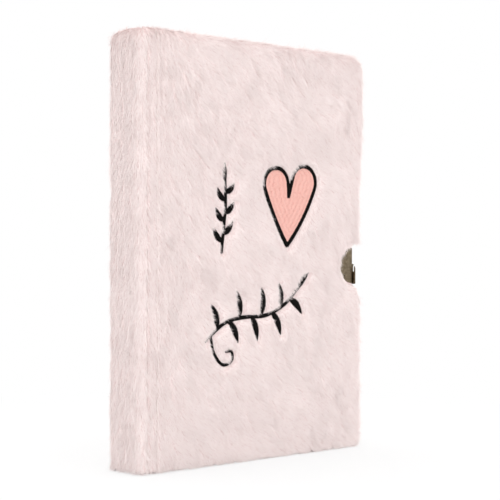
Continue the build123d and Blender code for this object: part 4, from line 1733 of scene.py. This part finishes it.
    def distance(self, x: float, z: float) -> float:
        """Distance of a place on the front cover from the nearest stitches, 0 or less on them.

        Args:
            x: Place along X, in metres.
            z: Place along Z, in metres.

        Returns:
            The distance in metres.
        """
        _, number, apart = self.nearest.find((x, z, 0.0))
        after = np.roll(self.polygon, -1, axis=0)
        crossed = (self.polygon[:, 1] > z) != (after[:, 1] > z)
        a, b = self.polygon[crossed], after[crossed]
        at = a[:, 0] + (z - a[:, 1]) / (b[:, 1] - a[:, 1]) * (b[:, 0] - a[:, 0])
        inside = np.count_nonzero(at > x) % 2
        return 0.0 if inside else apart - self.reaches[number]

    def clearing(self) -> list[tuple[list, list]]:
        """Flat shapes that the pile keeps clear of.

        Returns:
            Points and faces of each shape.
        """
        y = -self.book.stitch_y
        shapes = []
        for stroke in self.strokes():
            side = stroke.to_edge()
            points = [(x, y, z) for p in zip(stroke.path - side, stroke.path + side) for x, z in p]
            faces = [(2 * i, 2 * i + 1, 2 * i + 3, 2 * i + 2) for i in range(len(stroke.path) - 1)]
            shapes.append((points, faces))
        shapes.append(([(x, y, z) for x, z in self.polygon], [tuple(range(len(self.polygon)))]))
        return shapes

    def build(self) -> None:
        """Builds and dresses every stitched piece."""
        cover = CoverSide.FRONT.body
        dress(self.heart_fill(), cover, "coral_satin", "heart_fill")
        for name, strokes, rise, solids in (
            ("heart_border", self.heart.outline(), self.border_rise, ["heart_outline"]),
            ("tall_sprig", self.tall_sprig(), self.sprig_rise, []),
            ("wide_sprig", self.wide_sprig(), self.sprig_rise, []),
        ):
            dress(self.satin(name, strokes, rise), cover, "black_thread", *solids)


@dataclass
class PlushCovers:
    """All the plush of the book: ground and pile over both covers, their joints and the spine.

    Attributes:
        book: Stations of the book.
        embroidery: Decoration that the pile parts round.
        bands: Number of pieces into which a cover's pile is split along its height.
        clear_gaps: Margin that the pile keeps from the lock plate, in bare margins of the ground.
        layer: Spacing of the layers of what it keeps clear of at the lock.
    """

    book: BookStations
    embroidery: Embroidery
    bands: int = 4
    clear_gaps: float = 1.7
    layer: float = 0.4 * MM

    def keep_clear(self, ground: PlushGround, side: CoverSide) -> Piece:
        """Mesh of what the pile keeps clear of on a cover.

        Args:
            ground: Ground of the plush.
            side: Which cover.

        Returns:
            A helper object, removed after use.
        """
        b = self.book
        shapes = self.embroidery.clearing() if side is CoverSide.FRONT else []
        radius = b.lock_r + self.clear_gaps * ground.notch_gap
        turns = np.linspace(math.pi / 2, 3 * math.pi / 2, 25)
        plate = [(b.x_edge + radius * math.cos(t), b.lock_z + radius * math.sin(t)) for t in turns]
        below, above = b.lock_z - ground.notch_below, b.lock_z + ground.notch_above
        past = b.x_edge + b.pile
        notch = [(b.x_edge, below), (past, below), (past, above), (b.x_edge, above)]
        for y in np.arange(b.y_in - b.pile / 4, b.y_out + b.pile, self.layer):
            for rim in (plate, notch):
                shapes.append(([(x, side.value * y, z) for x, z in rim], [tuple(range(len(rim)))]))
        points, faces = [], []
        for shape_points, shape_faces in shapes:
            faces += [tuple(i + len(points) for i in f) for f in shape_faces]
            points += shape_points
        return mesh_object(f"{side.word}_clearing", points, faces)

    def build(self) -> None:
        """Builds and dresses the ground and the pile."""
        b = self.book
        pile = PlushPile(b)
        ground = PlushGround(b, self.embroidery.distance, pile.comb)
        fur = UnderPile("acrylic_underfur_knit").make()
        foot, top = -b.pile, b.z_head + 2 * b.pile
        clearings = {side: self.keep_clear(ground, side) for side in CoverSide}
        for side in CoverSide:
            cover, clearing = ground.cover(side), clearings[side]
            cover.data.materials.append(fur)
            cuts = [foot, *np.linspace(0, b.z_head, self.bands + 1)[1:-1].tolist(), top]
            for k, (low, high) in enumerate(zip(cuts, cuts[1:]), 1):
                hair = pile.on(cover, f"{side.word}_pile_{k}", clearing, low, high, pile.fullness)
                dress(hair, side.body, "plush")
            dress(cover, side.body, "plush", f"{side.word}_plush")
            strip = ground.joint(side)
            strip.data.materials.append(fur)
            hair = pile.on(strip, f"{side.word}_joint_pile", clearing, foot, top, pile.spine_fullness)
            dress(hair, side.body, "plush")
            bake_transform(strip)
            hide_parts(f"{side.word}_joint_plush")
            LOG.info("%s: %d faces across the joint", strip.name, len(strip.data.polygons))
        spine = ground.spine()
        spine.data.materials.append(fur)
        hair = pile.on(spine, "spine_pile", clearings[CoverSide.BACK], foot, top, pile.spine_fullness)
        dress(hair, "book_block", "plush")
        dress(spine, "book_block", "plush", "spine_plush")
        for helper in clearings.values():
            bpy.data.objects.remove(helper)


# Pieces that keep their solids


def paint(by_slot: dict[str, Finish]) -> None:
    """Puts finishes on the solids that stay as they are.

    Args:
        by_slot: Finish of each material slot.
    """
    made = {slot: finish.make() for slot, finish in by_slot.items()}
    for row in frame["record"]["subparts"]:
        if row["material_slot"] in made:
            solid, material = frame["nodes"][row["node"]], made[row["material_slot"]]
            solid.data.materials.clear()
            solid.data.materials.append(material)
            LOG.info("%s keeps its solid, in %s", row["node"], material.name)


@dataclass(frozen=True)
class BookBlock:
    """Boards, paper and gauze, which keep the shape of their solids."""

    def build(self) -> None:
        """Gives each solid its material."""
        paint(
            {
                "board": BinderBoard("pressed_binder_board"),
                "paper": Paper("uncoated_ruled_paper", ruled=True),
                "endpaper": Paper("uncoated_endpaper", light="#E3DAD8", shade="#CFC3C0"),
                "lining": Gauze("cotton_mull_gauze"),
            }
        )


@dataclass(frozen=True)
class Lock:
    """Lock and hasp, which keep the shape of their solids.

    Attributes:
        keyway_rim: Depth below the plug's face at which the keyway turns dark with painted shade, in metres.
    """

    keyway_rim: float = 0.15 * MM

    def build(self) -> None:
        """Gives each solid its material."""
        _, plug_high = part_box("key_plug")
        # the plug's plating is painted in shade below this place, in the keyway
        recess_x = plug_high[0] - self.keyway_rim
        rubbed = {"bright": "#B3A37F", "brown": "#94866A", "recess_x": recess_x}
        paint(
            {
                "antique_brass": AntiquePlating("antique_brass_plating"),
                "plug_brass": AntiquePlating("rubbed_brass_plating", **rubbed),
                "lock_steel": StampedSteel("stamped_bare_steel"),
            }
        )


# Stage


@dataclass(frozen=True)
class Studio:
    """Floor, light and camera.

    Attributes:
        camera_at: Place of the camera, in metres.
        camera_way: Way in which it looks.
        sensor_mm: Width of its sensor.
        focal_px: Focal length in pixels of the frame.
        shift_px: How far the horizon lies above the frame's middle.
        frame_px: Width of the frame.
        sky: Strength of the light from all round.
        lamp_size: Side length of a lamp, in metres.
        lamp_aim: Point that the lamps face.
        lamps: Place and power in watts of each lamp, by its name.
        floor_half: Half of the floor's side length, in metres.
        floor_colour: Colour of the floor.
        floor_fade: Distances from the book between which the floor runs out to plain white.
        floor_share: Share of plain white close to the book.
    """

    camera_at: tuple[float, float, float] = (-0.4586, -0.5041, 0.1007)
    camera_way: tuple[float, float, float] = (0.67729, 0.73571, 0.0)
    sensor_mm: float = 36.0
    focal_px: float = 1360.0
    shift_px: float = -6.6
    frame_px: float = 500.0
    sky: float = 1.2
    lamp_size: float = 0.9
    lamp_aim: tuple[float, float, float] = (0.0, 0.0, 0.1)
    lamps: tuple[tuple[str, tuple[float, float, float], float], ...] = (
        ("key_softbox", (-0.05, -1.1, 0.35), 1.2),
        ("fill_softbox", (-1.0, -0.65, 0.12), 1.3),
    )
    floor_half: float = 3.0
    floor_colour: str = "#F4F4F4"
    floor_fade: tuple[float, float] = (0.08, 0.32)
    floor_share: float = 0.72

    def camera(self) -> None:
        """Puts the camera where the photograph was taken from."""
        data = bpy.data.cameras.new("camera")
        data.sensor_width = self.sensor_mm
        data.lens = self.sensor_mm * self.focal_px / self.frame_px
        data.shift_y = -self.shift_px / self.frame_px
        camera = new_object("camera", data)
        camera.location = self.camera_at
        camera.rotation_euler = Vector(self.camera_way).to_track_quat("-Z", "Y").to_euler()
        bpy.context.scene.camera = camera

    @staticmethod
    def shown_white(add: Adder) -> Socket | Node:
        """1 for rays from the camera and for those by way of gloss or glass.

        Args:
            add: Adds a node to the tree.

        Returns:
            What gives the value.
        """
        path = add("ShaderNodeLightPath").outputs
        shown = path["Is Camera Ray"]
        for name in ("Is Glossy Ray", "Is Transmission Ray"):
            shown = add("ShaderNodeMath", {0: shown, 1: path[name]}, operation="MAXIMUM")
        return shown

    def world(self) -> None:
        """Soft white light from all round, and a white background for the camera."""
        world = bpy.data.worlds.new("studio")
        bpy.context.scene.world = world
        world.use_nodes = True
        world.node_tree.nodes.clear()
        add = partial(add_node, world.node_tree)
        soft, white = (
            add("ShaderNodeBackground", {"Color": WHITE, "Strength": level}) for level in (self.sky, 1.0)
        )
        mix = add("ShaderNodeMixShader", {0: self.shown_white(add), 1: soft, 2: white})
        add("ShaderNodeOutputWorld", {"Surface": mix})

    def light(self) -> None:
        """Adds the square soft lamps."""
        for name, at, watts in self.lamps:
            data = bpy.data.lights.new(name, "AREA")
            data.size, data.energy = self.lamp_size, watts
            lamp = new_object(name, data)
            lamp.location = at
            lamp.rotation_euler = (Vector(self.lamp_aim) - Vector(at)).to_track_quat("-Z", "Y").to_euler()

    def floor(self) -> None:
        """White floor that keeps a faint shadow near the book and runs out to plain white."""
        half = self.floor_half
        corners = [(-half, -half, 0), (half, -half, 0), (half, half, 0), (-half, half, 0)]
        floor = mesh_object("floor", corners, [(0, 1, 2, 3)], shaded_smooth=False)
        material = bpy.data.materials.new("white_paper_floor")
        material.use_nodes = True
        material.node_tree.nodes.clear()
        add = partial(add_node, material.node_tree)
        place = add("ShaderNodeTexCoord").outputs["Object"]
        apart = add("ShaderNodeVectorMath", {0: place}, operation="LENGTH")
        near, far = self.floor_fade
        fades = {"Value": apart, "From Min": near, "From Max": far, "To Min": self.floor_share, "To Max": 1.0}
        fade = add("ShaderNodeMapRange", fades, interpolation_type="SMOOTHSTEP")
        share = add("ShaderNodeMath", {0: self.shown_white(add), 1: fade}, operation="MULTIPLY")
        matt = add("ShaderNodeBsdfDiffuse", {"Color": linear(self.floor_colour)})
        white = add("ShaderNodeEmission", {"Color": WHITE, "Strength": 1.0})
        mix = add("ShaderNodeMixShader", {0: share, 1: matt, 2: white})
        add("ShaderNodeOutputMaterial", {"Surface": mix})
        floor.data.materials.append(material)

    def build(self) -> None:
        """Sets the whole stage."""
        self.camera()
        self.world()
        self.floor()
        self.light()
        bpy.context.scene.view_settings.view_transform = "Standard"


def main() -> None:
    """Builds the diary's looks, piece by piece."""
    logging.basicConfig(level=logging.INFO, format="%(name)s: %(message)s")
    Studio().build()
    book = BookStations.from_solids()
    embroidery = Embroidery(book, Heart())
    BookBlock().build()
    Lock().build()
    embroidery.build()
    PlushCovers(book, embroidery).build()


if __name__ == "__main__":
    main()
